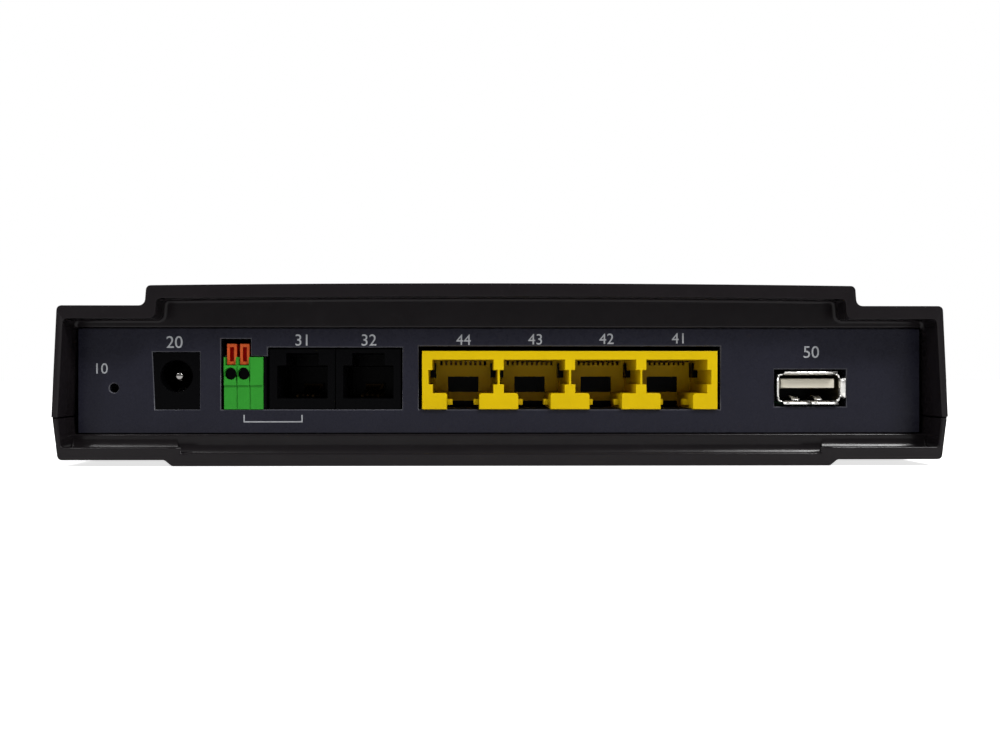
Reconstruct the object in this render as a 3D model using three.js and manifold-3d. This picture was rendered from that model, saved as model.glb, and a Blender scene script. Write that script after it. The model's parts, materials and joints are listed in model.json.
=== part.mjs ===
// Desktop broadband gateway: a two-part housing with a recessed port panel, a circuit board,
// its connectors, two spring-clamp buttons and a reset switch behind a pinhole.
// Millimetres. X runs along the port panel, -Y is the port side, +Y the indicator side, +Z is up.
// The origin is the centre of the rectangle that the housing covers, at the height it stands on.
import * as THREE from 'three';
import { mergeVertices } from 'three/addons/utils/BufferGeometryUtils.js';
import Module from 'manifold-3d';

const wasm = await Module();
wasm.setup();

// ---------------------------------------------------------------- driving dimensions
// Housing, outside
const width = 170;          // across the joint between the two shells
const depth = 125;
const height = 34.6;        // to the crown of the raised band
const crown = 0.45;         // the band's top is this much higher in the middle than at its ends
const bandInset = 17.8;     // from the sides to the ends of the band
const bandLean = 0.3;       // each end of the band spreads this much towards its foot
const shoulderDrop = 3.8;   // the shoulders lie this far below the ends of the band
const footInset = 22.6;     // from the sides to the ends of the foot
const footRise = 1.15;      // the outer floor lies this far above the foot
const footSlope = 1.4;
const sideLean = 1;         // the sides lean in by this at their top and bottom
const frontRadius = 10;     // upright corners at the indicator side
const frontTopRadius = 5;
const frontFootRadius = 1.1;
const edgeRadius = 0.9;
const stepRadius = 1.2;

// Joint between the shells
const splitHeight = 9.1;
const splitGap = 0.3;
const splitOverhang = 0.2;
const tongueThickness = 0.9;
const tongueRise = 1.6;
const tongueRoot = 2.4;     // the tongue starts this far below the joint
const tongueGrip = 0.8;     // its root is sunk this far into the wall around it

// Housing walls
const sideWall = 1.5;
const roofWall = 2;
const floorWall = 2;
const frontWall = 2.2;
const rearWall = 1.6;
const stepWall = 1.85;

// Rim around the recessed ports
const lipDepth = 4.9;
const lipSide = 1.15;
const lipRoof = 2.45;
const lipFloor = 2.4;
const browHeight = 3.9;     // from the shoulders down to the lower edge of the wall above the panel
const sillHeight = 5.7;     // top edge of the wall below the panel

// Port panel
const panelEndGap = 0.6;    // to the inside of the rim, at the panel's upper corners
const panelSetback = 0.5;
const panelGap = 0.25;
const flangeThickness = 1;
const flangeReach = 1.3;
const pinholeRadius = 0.825;
const keeperWidth = 4;
const keeperThickness = 1;
const keeperReach = 1.4;    // how far a keeper rib overlaps the edge of the flange

// General clearances
const fit = 0.3;            // between pieces that meet
const slide = 0.12;         // on each side of a piece that slides
const past = 1;             // a cut runs this far past the face that it opens

// Circuit board
const boardTop = 10.5;
const boardThickness = 1.6;
const boardSideGap = 3.5;
const boardFrontGap = 3.8;
const boardRadius = 5;

// Screws and their bosses
const caseScrew = { shank: 1.35, head: 2.6, headHeight: 1.6, grip: 16, seat: 4 };
const boardScrew = { shank: 1.1, head: 2.2, headHeight: 1.2, grip: 6 };
const crossRecess = { reach: 0.62, halfWidth: 0.35, depth: 0.7 };
const bossWall = 1.35;
const postInset = 11;       // of the case screws, from the sides
const postRear = 24;
const postFront = 14;
const bossInset = 29;       // of the board screws, from the sides
const bossRear = 42;
const bossFront = 27;

// Ventilation
const ventLength = 9.5;
const ventWidth = 1.8;
const ventPitch = 4.2;
const floorVentLength = 24;
const floorVentWidth = 2;
const floorVentPitch = 5;
const floorVentInset = 47;  // of the middle of the slots, from the sides
const labelRecess = { width: 44, length: 62, depth: 0.4, radius: 2 };

// Indicators
const lampCount = 6;
const lampPitch = 13;
const windowEnd = 23.5;     // of the window past the outer lamps
const windowHeight = 6;
const windowThickness = 1.2;
const windowLevel = 18;
const windowCorner = 0.6;
const guideSize = 2.4;
const lampSize = { x: 3.2, y: 1.6, z: 1.1 };
const lampInset = 2.5;      // from the board's front edge

// Heat sink on the processor
const cooler = { size: 26, plate: 2.5, finHeight: 7, fin: 1.2, fins: 6 };

// Clear spaces along the panel, each from the piece before; the first two from the panel's end
const spaces = { reset: 5.67, power: 14.43, terminal: 4.87, phone: 1.16, ethernet: 4.17, usb: 11.53 };
// Ethernet housing: four sockets in one moulding
const ethernet = {
  ports: 4, pitch: 13.97, endWall: 2.03, height: 11.4, length: 16.8, proud: 0.5,
  mouth: 11.93, floor: 3.13, roof: 9.7, cavity: 12.5, backWall: 1.4,
  notchLow: 4.86, notchHigh: 7.69, notchDepth: 0.8, latchGap: 6.3, wirePitch: 1.02, combSlots: 10,
  tab: 1.05, tabLow: 0.8, tabHigh: 1.9, tabSetback: 0.7, tabLength: 2.2,
  combSlot: 0.5, combDrop: 0.95, windowWidth: 6.4, windowHeight: 3.25,
  wires: 8, wire: 0.26, wireDrop: 0.15, wireReach: 8.5, strip: 1.6, stripMargin: 0.3,
};
// Line and phone sockets: one moulding each
const phoneJack = {
  seam: 0.1, width: 12.8, height: 11.8, length: 14.6, setback: 0.3,
  mouth: 9.77, floor: 2.13, roof: 8.53, cavity: 13, latchWidth: 6.3, latchTop: 11,
  latchStop: 3, wires: 4, wirePitch: 1.02, wire: 0.4, wireStart: 3, wireLift: 0.2, wireRise: 1.5,
  strip: 1.1, stripMargin: 0.4, stripRise: 2.5,
};
// Power socket
const powerJack = {
  width: 9, height: 11.1, length: 13.8, setback: 0.3, axisHeight: 6.5,
  bore: 3.15, boreDepth: 10, pin: 1.05, pinSetback: 1.2, pinTip: 0.5, pinRoot: 2,
  slotWidth: 3, slotStart: 2.5, slotPast: 1.5, slotDrop: 1, slotTop: 1.8,
  springWidth: 2.4, springSheet: 0.35, springRise: 1.5, springCrest: 1.1,
};
// Spring-clamp terminal block
const terminal = {
  columns: 3, clamps: 2, pitch: 2.535, height: 10.2, length: 11.9, proud: 0.3,
  stepHeight: 4.7, step: 0.7, wireWall: 0.235, wireHeight: 7.05,
  channelWall: 0.395, buttonLow: 8.7, buttonHigh: 12.85, buttonSetback: 1.1, buttonLength: 3.2,
  buttonTravel: 1.2, fingerHeight: 1.2, slotWidth: 0.8, slotEdge: 0.65, slotDepth: 0.9,
  grooveWidth: 0.16, grooveDepth: 0.15, chamberSetback: 5.2, chamberSpare: 1.5, chamberFloor: 1.6,
  fingerReach: 2.1, leafSheet: 0.3, leafSideGap: 0.25, leafFoot: 1.4, leafLap: 0.9,
};
// USB socket
const usb = {
  level: 4.15, width: 13.1, height: 5.72, sheet: 0.35, length: 13.2, proud: 0.5,
  flare: 0.42, flareLength: 1.1, tongueWidth: 11.1, tongueThickness: 1.9, tongueLevel: 5.1,
  tongueSetback: 1.5, blockLength: 2.6, corner: 0.8, blockCorner: 0.5,
};
// Reset switch
const reset = {
  level: 4.15, bodyWidth: 6, bodyHeight: 7.2, bodyLength: 3.8, bodySetback: 2.4,
  plunger: 1.2, plungerReach: 1.9, plungerTail: 1.6, boreDepth: 2.6,
};
// Margins of the panel's cut-outs around what stands in them
const powerMargin = 0.1;
const ethernetMargin = { side: 0.7, top: 0.95 };
const usbMargin = { side: 0.15, top: 0.4 };
const cutoutSill = 0.05;    // the cut-outs reach this far below the board's top
const phoneMargin = { side: 0.3, top: 0.3 };
const terminalMargin = { side: 0.65, top: 0.2, button: 0.95 };

// ---------------------------------------------------------------- places worked out from them
const halfWidth = width / 2;
const rearY = -depth / 2;
const frontY = depth / 2;
const bandEnd = height - crown;
const shoulder = bandEnd - shoulderDrop;
const browEdge = shoulder - browHeight;
const behindRim = (distance) => rearY + distance;
const panelFace = behindRim(lipDepth + panelSetback);
const flangeFace = behindRim(lipDepth + rearWall) + fit;
const flangeBack = flangeFace + flangeThickness;
const boardUnder = boardTop - boardThickness;
const boardRear = flangeBack + 2 * fit;
const boardFront = frontY - frontWall - boardFrontGap;
const boardHalf = halfWidth - sideWall - boardSideGap;
const lampY = boardFront - lampInset;
const windowHalf = ((lampCount - 1) * lampPitch) / 2 + windowEnd;
const caseScrewTop = caseScrew.seat + caseScrew.grip;
const mirrored = [-1, 1];
const range = (count) => Array.from({ length: count }, (_, i) => i);
const centred = (count, pitch) => range(count).map((i) => (i - (count - 1) / 2) * pitch);
const postPlaces = mirrored.flatMap((side) => [
  [side * (halfWidth - postInset), rearY + postRear],
  [side * (halfWidth - postInset), frontY - postFront],
]);
const bossX = halfWidth - bossInset;
const bossRows = [rearY + bossRear, frontY - bossFront];
const bossPlaces = mirrored.flatMap((side) => bossRows.map((y) => [side * bossX, y]));

// Along the panel, from its left end
const leanAt = (z) => (sideLean * (z - splitHeight)) / (shoulder - splitHeight);
const panelHalf = halfWidth - leanAt(browEdge) - lipSide - panelEndGap;
const resetX = spaces.reset + reset.plunger - panelHalf;
const powerX = spaces.power + powerJack.width / 2 - panelHalf;
const terminalLeft = powerX + powerJack.width / 2 + spaces.terminal;
const terminalRight = terminalLeft + terminal.columns * terminal.pitch;
const buttonWidth = terminal.pitch - terminal.channelWall - 2 * slide;
const wireRadius = (terminal.pitch - terminal.wireWall) / 2;
const clampCentres = range(terminal.clamps).map((i) => terminalLeft + (i + 0.5) * terminal.pitch);
const phonePitch = phoneJack.width + phoneJack.seam;
const phoneLeft = terminalRight + spaces.phone;
const phoneCentres = range(2).map((i) => phoneLeft + phoneJack.width / 2 + i * phonePitch);
const phoneRight = phoneCentres[1] + phoneJack.width / 2;
const ethernetLeft = phoneRight + spaces.ethernet;
const ethernetWidth = (ethernet.ports - 1) * ethernet.pitch + ethernet.mouth + 2 * ethernet.endWall;
const ethernetMiddle = ethernetLeft + ethernetWidth / 2;
const ethernetCentres = centred(ethernet.ports, ethernet.pitch).map((x) => ethernetMiddle + x);
const usbX = ethernetLeft + ethernetWidth + spaces.usb + usb.flare + usb.width / 2;

// On the board, behind the sockets
const behindSockets = (distance) => panelFace - ethernet.proud + ethernet.length + distance;
const processor = { x: ethernetMiddle - 7.5, y: behindSockets(46.8), height: 1.4 };

// ---------------------------------------------------------------- solids from three.js geometry
function toSolid(geometry) {
  geometry.deleteAttribute('normal');
  geometry.deleteAttribute('uv');
  const merged = mergeVertices(geometry, 1e-4);
  return new wasm.Manifold(new wasm.Mesh({
    numProp: 3,
    vertProperties: Float32Array.from(merged.attributes.position.array),
    triVerts: Uint32Array.from(merged.index.array),
  }));
}

function box(x0, x1, y0, y1, z0, z1) {
  const geometry = new THREE.BoxGeometry(x1 - x0, y1 - y0, z1 - z0);
  return toSolid(geometry.translate((x0 + x1) / 2, (y0 + y1) / 2, (z0 + z1) / 2));
}

function extruded(outline, length) {
  const points = outline.map(([x, y]) => new THREE.Vector2(x, y));
  return new THREE.ExtrudeGeometry(new THREE.Shape(points), { depth: length, bevelEnabled: false });
}

// Prisms along each axis: the outline is (y, z), (x, z) or (x, y).
function prismX(outline, x0, x1) {
  const turn = new THREE.Matrix4().makeBasis(
    new THREE.Vector3(0, 1, 0), new THREE.Vector3(0, 0, 1), new THREE.Vector3(1, 0, 0));
  return toSolid(extruded(outline, x1 - x0).applyMatrix4(turn).translate(x0, 0, 0));
}

function prismY(outline, y0, y1) {
  return toSolid(extruded(outline, y1 - y0).rotateX(Math.PI / 2).translate(0, y1, 0));
}

function prismZ(outline, z0, z1) {
  return toSolid(extruded(outline, z1 - z0).translate(0, 0, z0));
}

function rodY(x, z, radius, y0, y1, sides = 20) {
  const geometry = new THREE.CylinderGeometry(radius, radius, y1 - y0, sides);
  return toSolid(geometry.translate(x, (y0 + y1) / 2, z));
}

function rodZ(x, y, radius, z0, z1, sides = 20) {
  const geometry = new THREE.CylinderGeometry(radius, radius, z1 - z0, sides);
  return toSolid(geometry.rotateX(Math.PI / 2).translate(x, y, (z0 + z1) / 2));
}

// A body between two outlines (x, z) with the same number of points, at two places along Y.
function loftY(nearOutline, yNear, farOutline, yFar) {
  const count = nearOutline.length;
  const flat = nearOutline.map(([x, z]) => new THREE.Vector2(x, z));
  const caps = THREE.ShapeUtils.triangulateShape(flat, []);
  const rings = [[nearOutline, yNear], [farOutline, yFar]];
  const positions = rings.flatMap(([ring, y]) => ring.flatMap(([x, z]) => [x, y, z]));
  const faces = caps.flatMap(([a, b, c]) => [a, b, c, count + a, count + c, count + b]);
  range(count).forEach((i) => {
    const next = (i + 1) % count;
    faces.push(i, count + i, next, next, count + i, count + next);
  });
  const geometry = new THREE.BufferGeometry();
  geometry.setAttribute('position', new THREE.Float32BufferAttribute(positions, 3));
  geometry.setIndex(faces);
  return toSolid(geometry);
}

// Turns corners given as [x, y, radius] into an outline with arcs.
// A radius is limited by the sides next to it.
function filleted(corners, steps = 4) {
  const place = (i) => new THREE.Vector2(...corners.at(i % corners.length));
  return corners.flatMap(([x, y, radius = 0], i) => {
    if (radius === 0) return [[x, y]];
    const corner = new THREE.Vector2(x, y);
    const back = place(i - 1).sub(corner);
    const ahead = place(i + 1).sub(corner);
    const half = Math.abs(back.angleTo(ahead)) / 2;
    const reach = Math.min(radius / Math.tan(half), 0.49 * back.length(), 0.49 * ahead.length());
    const size = reach * Math.tan(half);
    const middle = back.clone().normalize().add(ahead.clone().normalize()).normalize()
      .multiplyScalar(size / Math.sin(half)).add(corner);
    const start = back.normalize().multiplyScalar(reach).add(corner).sub(middle).angle();
    const end = ahead.normalize().multiplyScalar(reach).add(corner).sub(middle).angle();
    const turn = Math.atan2(Math.sin(end - start), Math.cos(end - start));
    return range(steps + 1).map((k) => {
      const angle = start + (turn * k) / steps;
      return [middle.x + size * Math.cos(angle), middle.y + size * Math.sin(angle)];
    });
  });
}

function rectangle(x0, x1, y0, y1, radius = 0, steps = 3) {
  return filleted([[x0, y0, radius], [x1, y0, radius], [x1, y1, radius], [x0, y1, radius]], steps);
}

const group = new THREE.Group();

function addPiece(name, solid, material) {
  const mesh = solid.getMesh();
  const geometry = new THREE.BufferGeometry();
  geometry.setAttribute('position', new THREE.BufferAttribute(mesh.vertProperties, 3));
  geometry.setIndex(new THREE.BufferAttribute(mesh.triVerts, 1));
  geometry.computeVertexNormals();
  const piece = new THREE.Mesh(geometry, material);
  piece.name = name;
  group.add(piece);
}

function finish(color, roughness, metalness = 0) {
  return new THREE.MeshStandardMaterial({ color, roughness, metalness });
}

const shellPlastic = finish(0x211e20, 0.55);
const panelPlastic = finish(0x1e1f26, 0.6);
const smokedWindow = finish(0x0c0d10, 0.12);
const clearPlastic = finish(0xd8dde0, 0.2);
const boardLaminate = finish(0x1d4a2c, 0.5);
const blackMoulding = finish(0x0b0b0d, 0.5);
const chipEpoxy = finish(0x18181a, 0.65);
const yellowMoulding = finish(0xdcb705, 0.42);
const greenMoulding = finish(0x329b32, 0.45);
const orangeMoulding = finish(0xd7552d, 0.4);
const creamMoulding = finish(0xc9c6b4, 0.5);
const nickel = finish(0xc8c8c4, 0.28, 1);
const zincSteel = finish(0x9a9c9e, 0.4, 1);
const goldPlate = finish(0xb98a34, 0.3, 1);
const aluminium = finish(0xa4a6a8, 0.42, 1);

// ---------------------------------------------------------------- housing
// The housing's cross-section (x, z), drawn inwards by the wall thicknesses.
function bodyOutline({ side, roof, floor, step }) {
  const band = halfWidth - bandInset - step;
  const foot = halfWidth - footInset - step;
  const flank = halfWidth - side;
  const top = bandEnd - roof;
  const right = [
    [foot, floor, edgeRadius],
    [foot + footSlope, floor + footRise, edgeRadius],
    [flank - sideLean, floor + footRise, edgeRadius],
    [flank, splitHeight],
    [flank - sideLean, shoulder - roof, edgeRadius],
    [band + bandLean, shoulder - roof, stepRadius],
    [band, top, edgeRadius],
  ];
  const archSteps = 12;
  const arch = range(archSteps - 1).map((i) => {
    const x = band * (1 - (2 * (i + 1)) / archSteps);
    return [x, top + crown * (1 - (x / band) ** 2)];
  });
  const left = right.map(([x, z, radius]) => [-x, z, radius]).reverse();
  return filleted([...right, ...arch, ...left], 4);
}

function planOutline(half, y0, y1, radius) {
  return filleted([[-half, y0], [half, y0], [half, y1, radius], [-half, y1, radius]], 6);
}

// The solid that fills the housing, drawn inwards by the wall thicknesses.
function bodyForm(walls, y0) {
  const y1 = frontY - walls.front;
  const inset = walls.front;
  const profile = filleted([
    [y0, walls.floor],
    [y1, walls.floor, Math.max(frontFootRadius - inset, 0)],
    [y1, height - walls.roof, Math.max(frontTopRadius - inset, 0)],
    [y0, height - walls.roof],
  ], 5);
  return prismY(bodyOutline(walls), y0, y1)
    .intersect(prismZ(planOutline(halfWidth - walls.side, y0, y1, frontRadius - inset), -1, height))
    .intersect(prismX(profile, -width, width));
}

const noWalls = { side: 0, roof: 0, floor: 0, step: 0, front: 0 };
const innerWalls = {
  side: sideWall, roof: roofWall, floor: floorWall, step: stepWall, front: frontWall,
};
const lipWalls = { side: lipSide, roof: lipRoof, floor: lipFloor, step: stepWall, front: 0 };

function cavity() {
  const recess = prismY(bodyOutline(lipWalls), rearY - past, behindRim(lipDepth));
  const opening = prismY(bodyOutline(lipWalls), rearY, behindRim(lipDepth + rearWall) + past)
    .intersect(box(-width, width, rearY, frontY, sillHeight, browEdge));
  return bodyForm(innerWalls, behindRim(lipDepth + rearWall)).add(recess).add(opening);
}

// Ribs behind the panel's flange: z0 and z1 give their lower and upper ends at x.
function keepers(z0, z1) {
  const y0 = flangeBack + fit;
  const half = keeperWidth / 2;
  return centred(4, (2 * panelHalf - 3 * keeperWidth) / 3)
    .map((x) => box(x - half, x + half, y0, y0 + keeperThickness, z0(x), z1(x)));
}

function insideRoofAt(x) {
  const underBand = Math.abs(x) + keeperWidth / 2 < halfWidth - bandInset - stepWall;
  return (underBand ? bandEnd : shoulder) - roofWall;
}

function topCover() {
  const roofInside = shoulder - roofWall;
  let cover = bodyForm(noWalls, rearY)
    .intersect(box(-width, width, -depth, depth, splitHeight + splitGap / 2, 2 * height))
    .subtract(cavity());
  const keeperLow = browEdge - panelGap + flangeReach - keeperReach;
  for (const keeper of keepers(() => keeperLow, (x) => insideRoofAt(x) + roofWall / 2)) {
    cover = cover.add(keeper);
  }
  for (const [x, y] of postPlaces) {
    const radius = caseScrew.shank + fit;
    cover = cover.add(rodZ(x, y, radius + bossWall, boardTop + fit, roofInside + roofWall / 2));
    cover = cover.subtract(rodZ(x, y, radius, boardTop, caseScrewTop + past, 12));
  }
  return cover.subtract(shoulderVents()).subtract(windowPocket());
}

// Slots with round ends, along X.
function slots(centres, length, slotWidth, z0, z1) {
  const half = length / 2;
  const radius = slotWidth / 2;
  return centres
    .map(([x, y]) => rectangle(x - half, x + half, y - radius, y + radius, radius, 2))
    .map((outline) => prismZ(outline, z0, z1))
    .reduce((all, slot) => all.add(slot));
}

function shoulderVents() {
  const bossRadius = caseScrew.shank + fit + bossWall;
  const y0 = rearY + postRear + bossRadius + ventPitch;
  const y1 = frontY - postFront - bossRadius - ventPitch;
  const count = Math.floor((y1 - y0) / ventPitch) + 1;
  const x = halfWidth - (bandInset - bandLean + sideLean) / 2;
  const places = mirrored.flatMap((side) => centred(count, ventPitch)
    .map((offset) => [side * x, (y0 + y1) / 2 + offset]));
  return slots(places, ventLength, ventWidth, shoulder - roofWall - past, shoulder + past);
}

function windowPocket() {
  const w = windowHalf + fit;
  const h = windowHeight / 2 + fit;
  const pocket = box(-w, w, frontY - windowThickness - fit, frontY + past,
    windowLevel - h, windowLevel + h);
  const hole = guideSize / 2 + fit;
  return centred(lampCount, lampPitch)
    .map((x) => box(x - hole, x + hole, frontY - frontWall - past, frontY,
      windowLevel - hole, windowLevel + hole))
    .reduce((all, one) => all.add(one), pocket);
}

// The upright blade inside the joint, along the sides and the front.
function tongue() {
  const joint = splitHeight - splitGap / 2;
  const half = halfWidth - sideWall - fit;
  const front = frontY - frontWall - fit;
  const radius = frontRadius - frontWall - fit;
  const layer = (grow, y0, z0, z1) => prismZ(
    planOutline(half + grow, y0, front + grow, radius + grow), z0, z1);
  const root = layer(tongueGrip, boardRear, joint - tongueRoot, joint - fit);
  const blade = layer(0, boardRear, joint - tongueRoot, joint + tongueRise);
  const inside = layer(-tongueThickness, boardRear - past, joint - tongueRoot - past, height);
  return root.add(blade).subtract(inside);
}

function bottomBase() {
  const tucked = { ...noWalls, side: splitOverhang };
  const top = splitHeight - splitGap / 2;
  let base = bodyForm(tucked, rearY)
    .intersect(box(-width, width, -depth, depth, -past, top))
    .subtract(cavity())
    .add(tongue());
  const keeperHigh = sillHeight + panelGap - flangeReach + keeperReach;
  const keeperRoot = (footRise + floorWall) / 2;
  for (const keeper of keepers(() => keeperRoot, () => keeperHigh)) {
    base = base.add(keeper);
  }
  for (const [x, y] of postPlaces) {
    const sink = caseScrew.head + fit;
    const bore = caseScrew.shank + fit;
    base = base.add(rodZ(x, y, sink + bossWall, footRise + floorWall / 2, boardUnder));
    base = base.subtract(rodZ(x, y, sink, -past, caseScrew.seat));
    base = base.subtract(rodZ(x, y, bore, 0, boardUnder + past, 12));
  }
  for (const [x, y] of bossPlaces) {
    const bore = boardScrew.shank + fit;
    base = base.add(rodZ(x, y, bore + bossWall, floorWall / 2, boardUnder, 16));
    base = base.subtract(rodZ(x, y, bore, boardTop - boardScrew.grip - fit, boardUnder + past, 12));
  }
  const { width: across, length: along, depth: deep, radius } = labelRecess;
  const label = rectangle(-across / 2, across / 2, -along / 2, along / 2, radius);
  return base.subtract(floorVents()).subtract(prismZ(label, -past, deep));
}

function floorVents() {
  const y0 = rearY + bossRear + floorVentPitch;
  const y1 = frontY - bossFront - floorVentPitch;
  const count = Math.floor((y1 - y0) / floorVentPitch) + 1;
  const places = mirrored.flatMap((side) => centred(count, floorVentPitch)
    .map((offset) => [side * (halfWidth - floorVentInset), (y0 + y1) / 2 + offset]));
  return slots(places, floorVentLength, floorVentWidth, -past, floorWall + past);
}

// ---------------------------------------------------------------- port panel
function panelCutouts() {
  const z0 = boardTop - cutoutSill;
  const y0 = panelFace - past;
  const y1 = flangeBack + past;
  const cut = (x0, x1, top) => box(x0, x1, y0, y1, z0, top);
  const e = ethernet;
  const p = phoneJack;
  const t = terminal;
  const buttonsEnd = clampCentres.at(-1) + buttonWidth / 2 + slide + fit;
  const phoneCut = phoneLeft - phoneMargin.side;
  const powerHalf = powerJack.width / 2 + powerMargin;
  const ethernetHalf = ethernetWidth / 2 + ethernetMargin.side;
  const usbHalfWidth = usb.width / 2 + usb.flare + usbMargin.side;
  const usbHalfHeight = usb.height / 2 + usb.flare + usbMargin.top;
  const usbLevel = boardTop + usb.level;
  return [
    rodY(resetX, boardTop + reset.level, pinholeRadius, y0, y1, 16),
    cut(powerX - powerHalf, powerX + powerHalf, boardTop + powerJack.height + powerMargin),
    cut(terminalLeft - terminalMargin.side, buttonsEnd,
      boardTop + t.buttonHigh + terminalMargin.button),
    cut(terminalLeft, phoneCut + past, boardTop + t.height + terminalMargin.top),
    cut(phoneCut, phoneRight + phoneMargin.side, boardTop + p.height + phoneMargin.top),
    cut(ethernetMiddle - ethernetHalf, ethernetMiddle + ethernetHalf,
      boardTop + e.height + ethernetMargin.top),
    box(usbX - usbHalfWidth, usbX + usbHalfWidth, y0, y1,
      usbLevel - usbHalfHeight, usbLevel + usbHalfHeight),
  ];
}

function rearPanel() {
  const low = sillHeight + panelGap;
  const high = browEdge - panelGap;
  const flangeTop = high + flangeReach;
  const flangeHalf = Math.min(panelHalf, halfWidth - leanAt(flangeTop) - sideWall - fit);
  const plate = box(-panelHalf, panelHalf, panelFace, flangeFace + flangeThickness / 2, low, high);
  const behind = box(-flangeHalf, flangeHalf, flangeFace, flangeBack, low - flangeReach, flangeTop);
  return panelCutouts().reduce((panel, cut) => panel.subtract(cut), plate.add(behind));
}

// ---------------------------------------------------------------- indicators
function frontWindow() {
  const h = windowHeight / 2;
  const outline = rectangle(-windowHalf, windowHalf, windowLevel - h, windowLevel + h, windowCorner);
  return prismY(outline, frontY - windowThickness, frontY);
}

function lightGuide() {
  const s = guideSize / 2;
  const tip = frontY - windowThickness - 2 * fit;
  const span = ((lampCount - 1) * lampPitch) / 2;
  let guide = box(-span, span, lampY - s, lampY + s / 2, windowLevel - s, windowLevel + s);
  for (const x of centred(lampCount, lampPitch)) {
    guide = guide
      .add(box(x - s, x + s, lampY - s, lampY + s, boardTop + lampSize.z + fit, windowLevel + s))
      .add(box(x - s, x + s, lampY - s, tip, windowLevel - s, windowLevel + s));
  }
  return guide;
}

// ---------------------------------------------------------------- board and what is soldered to it
function mainBoard() {
  const outline = rectangle(-boardHalf, boardHalf, boardRear, boardFront, boardRadius, 5);
  let board = prismZ(outline, boardUnder, boardTop);
  for (const [x, y] of postPlaces) {
    const hole = caseScrew.shank + 2 * fit;
    board = board.subtract(rodZ(x, y, hole, boardUnder - past, boardTop + past, 12));
  }
  for (const [x, y] of bossPlaces) {
    const hole = boardScrew.shank + fit;
    board = board.subtract(rodZ(x, y, hole, boardUnder - past, boardTop + past, 12));
  }
  return board;
}

// A pan-head screw with a cross recess; its head sits on the seat and points up or down.
function screw(x, y, { shank, head, headHeight, grip }, seat, headUp) {
  const way = headUp ? 1 : -1;
  const rod = (radius, from, to, sides) => rodZ(
    x, y, radius, seat + Math.min(way * from, way * to), seat + Math.max(way * from, way * to), sides);
  const face = seat + way * headHeight;
  const long = head * crossRecess.reach;
  const short = crossRecess.halfWidth;
  const deep = crossRecess.depth;
  return rod(head, 0, headHeight)
    .add(rod(shank, -grip, headHeight / 2, 12))
    .subtract(box(x - long, x + long, y - short, y + short, face - deep, face + deep))
    .subtract(box(x - short, x + short, y - long, y + long, face - deep, face + deep));
}

// Low parts on the board: [name, x, y, size x, size y, height, material]
const flatParts = [
  ['soc_chip', processor.x, processor.y, 19, 19, processor.height, chipEpoxy],
  ['ram_chip', processor.x - 23, processor.y + 6, 9, 13, 1.1, chipEpoxy],
  ['flash_chip', processor.x - 23, processor.y - 12, 8, 8, 1.6, chipEpoxy],
  ['crystal_can', processor.x + 24, processor.y + 2, 11, 4.5, 3.5, nickel],
  ['line_driver_chip', phoneCentres[0], behindSockets(30.8), 7, 7, 0.9, chipEpoxy],
  ['voice_chip', phoneCentres[1], behindSockets(18.8), 8, 8, 0.9, chipEpoxy],
  ['lan_transformer_1', ethernetMiddle - 10, behindSockets(12.8), 16, 9, 5.5, blackMoulding],
  ['lan_transformer_2', ethernetMiddle + 10, behindSockets(12.8), 16, 9, 5.5, blackMoulding],
  ['line_transformer', phoneCentres[0] - 7, behindSockets(10.8), 13, 11, 9, blackMoulding],
  ['power_coil_1', powerX - 2.5, behindSockets(18.8), 8, 8, 4, blackMoulding],
  ['power_coil_2', -bossX, (bossRows[0] + bossRows[1]) / 2, 8, 8, 4, blackMoulding],
];

// Upright capacitors: [name, x, y, radius, height]
const capacitors = [
  ['capacitor_1', powerX - 2.5, behindSockets(32.8), 4, 11.5],
  ['capacitor_2', powerX - 2.5, behindSockets(44.8), 4, 11.5],
  ['capacitor_3', usbX - 3, behindSockets(10.8), 3.2, 9],
];

function heatSink({ x, y, height: chipHeight }) {
  const half = cooler.size / 2;
  const base = boardTop + chipHeight;
  const top = base + cooler.plate + cooler.finHeight;
  const plate = box(x - half, x + half, y - half, y + half, base, base + cooler.plate);
  return centred(cooler.fins, (cooler.size - cooler.fin) / (cooler.fins - 1))
    .map((offset) => x + offset)
    .map((finX) => box(finX - cooler.fin / 2, finX + cooler.fin / 2, y - half, y + half, base, top))
    .reduce((all, fin) => all.add(fin), plate);
}

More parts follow.
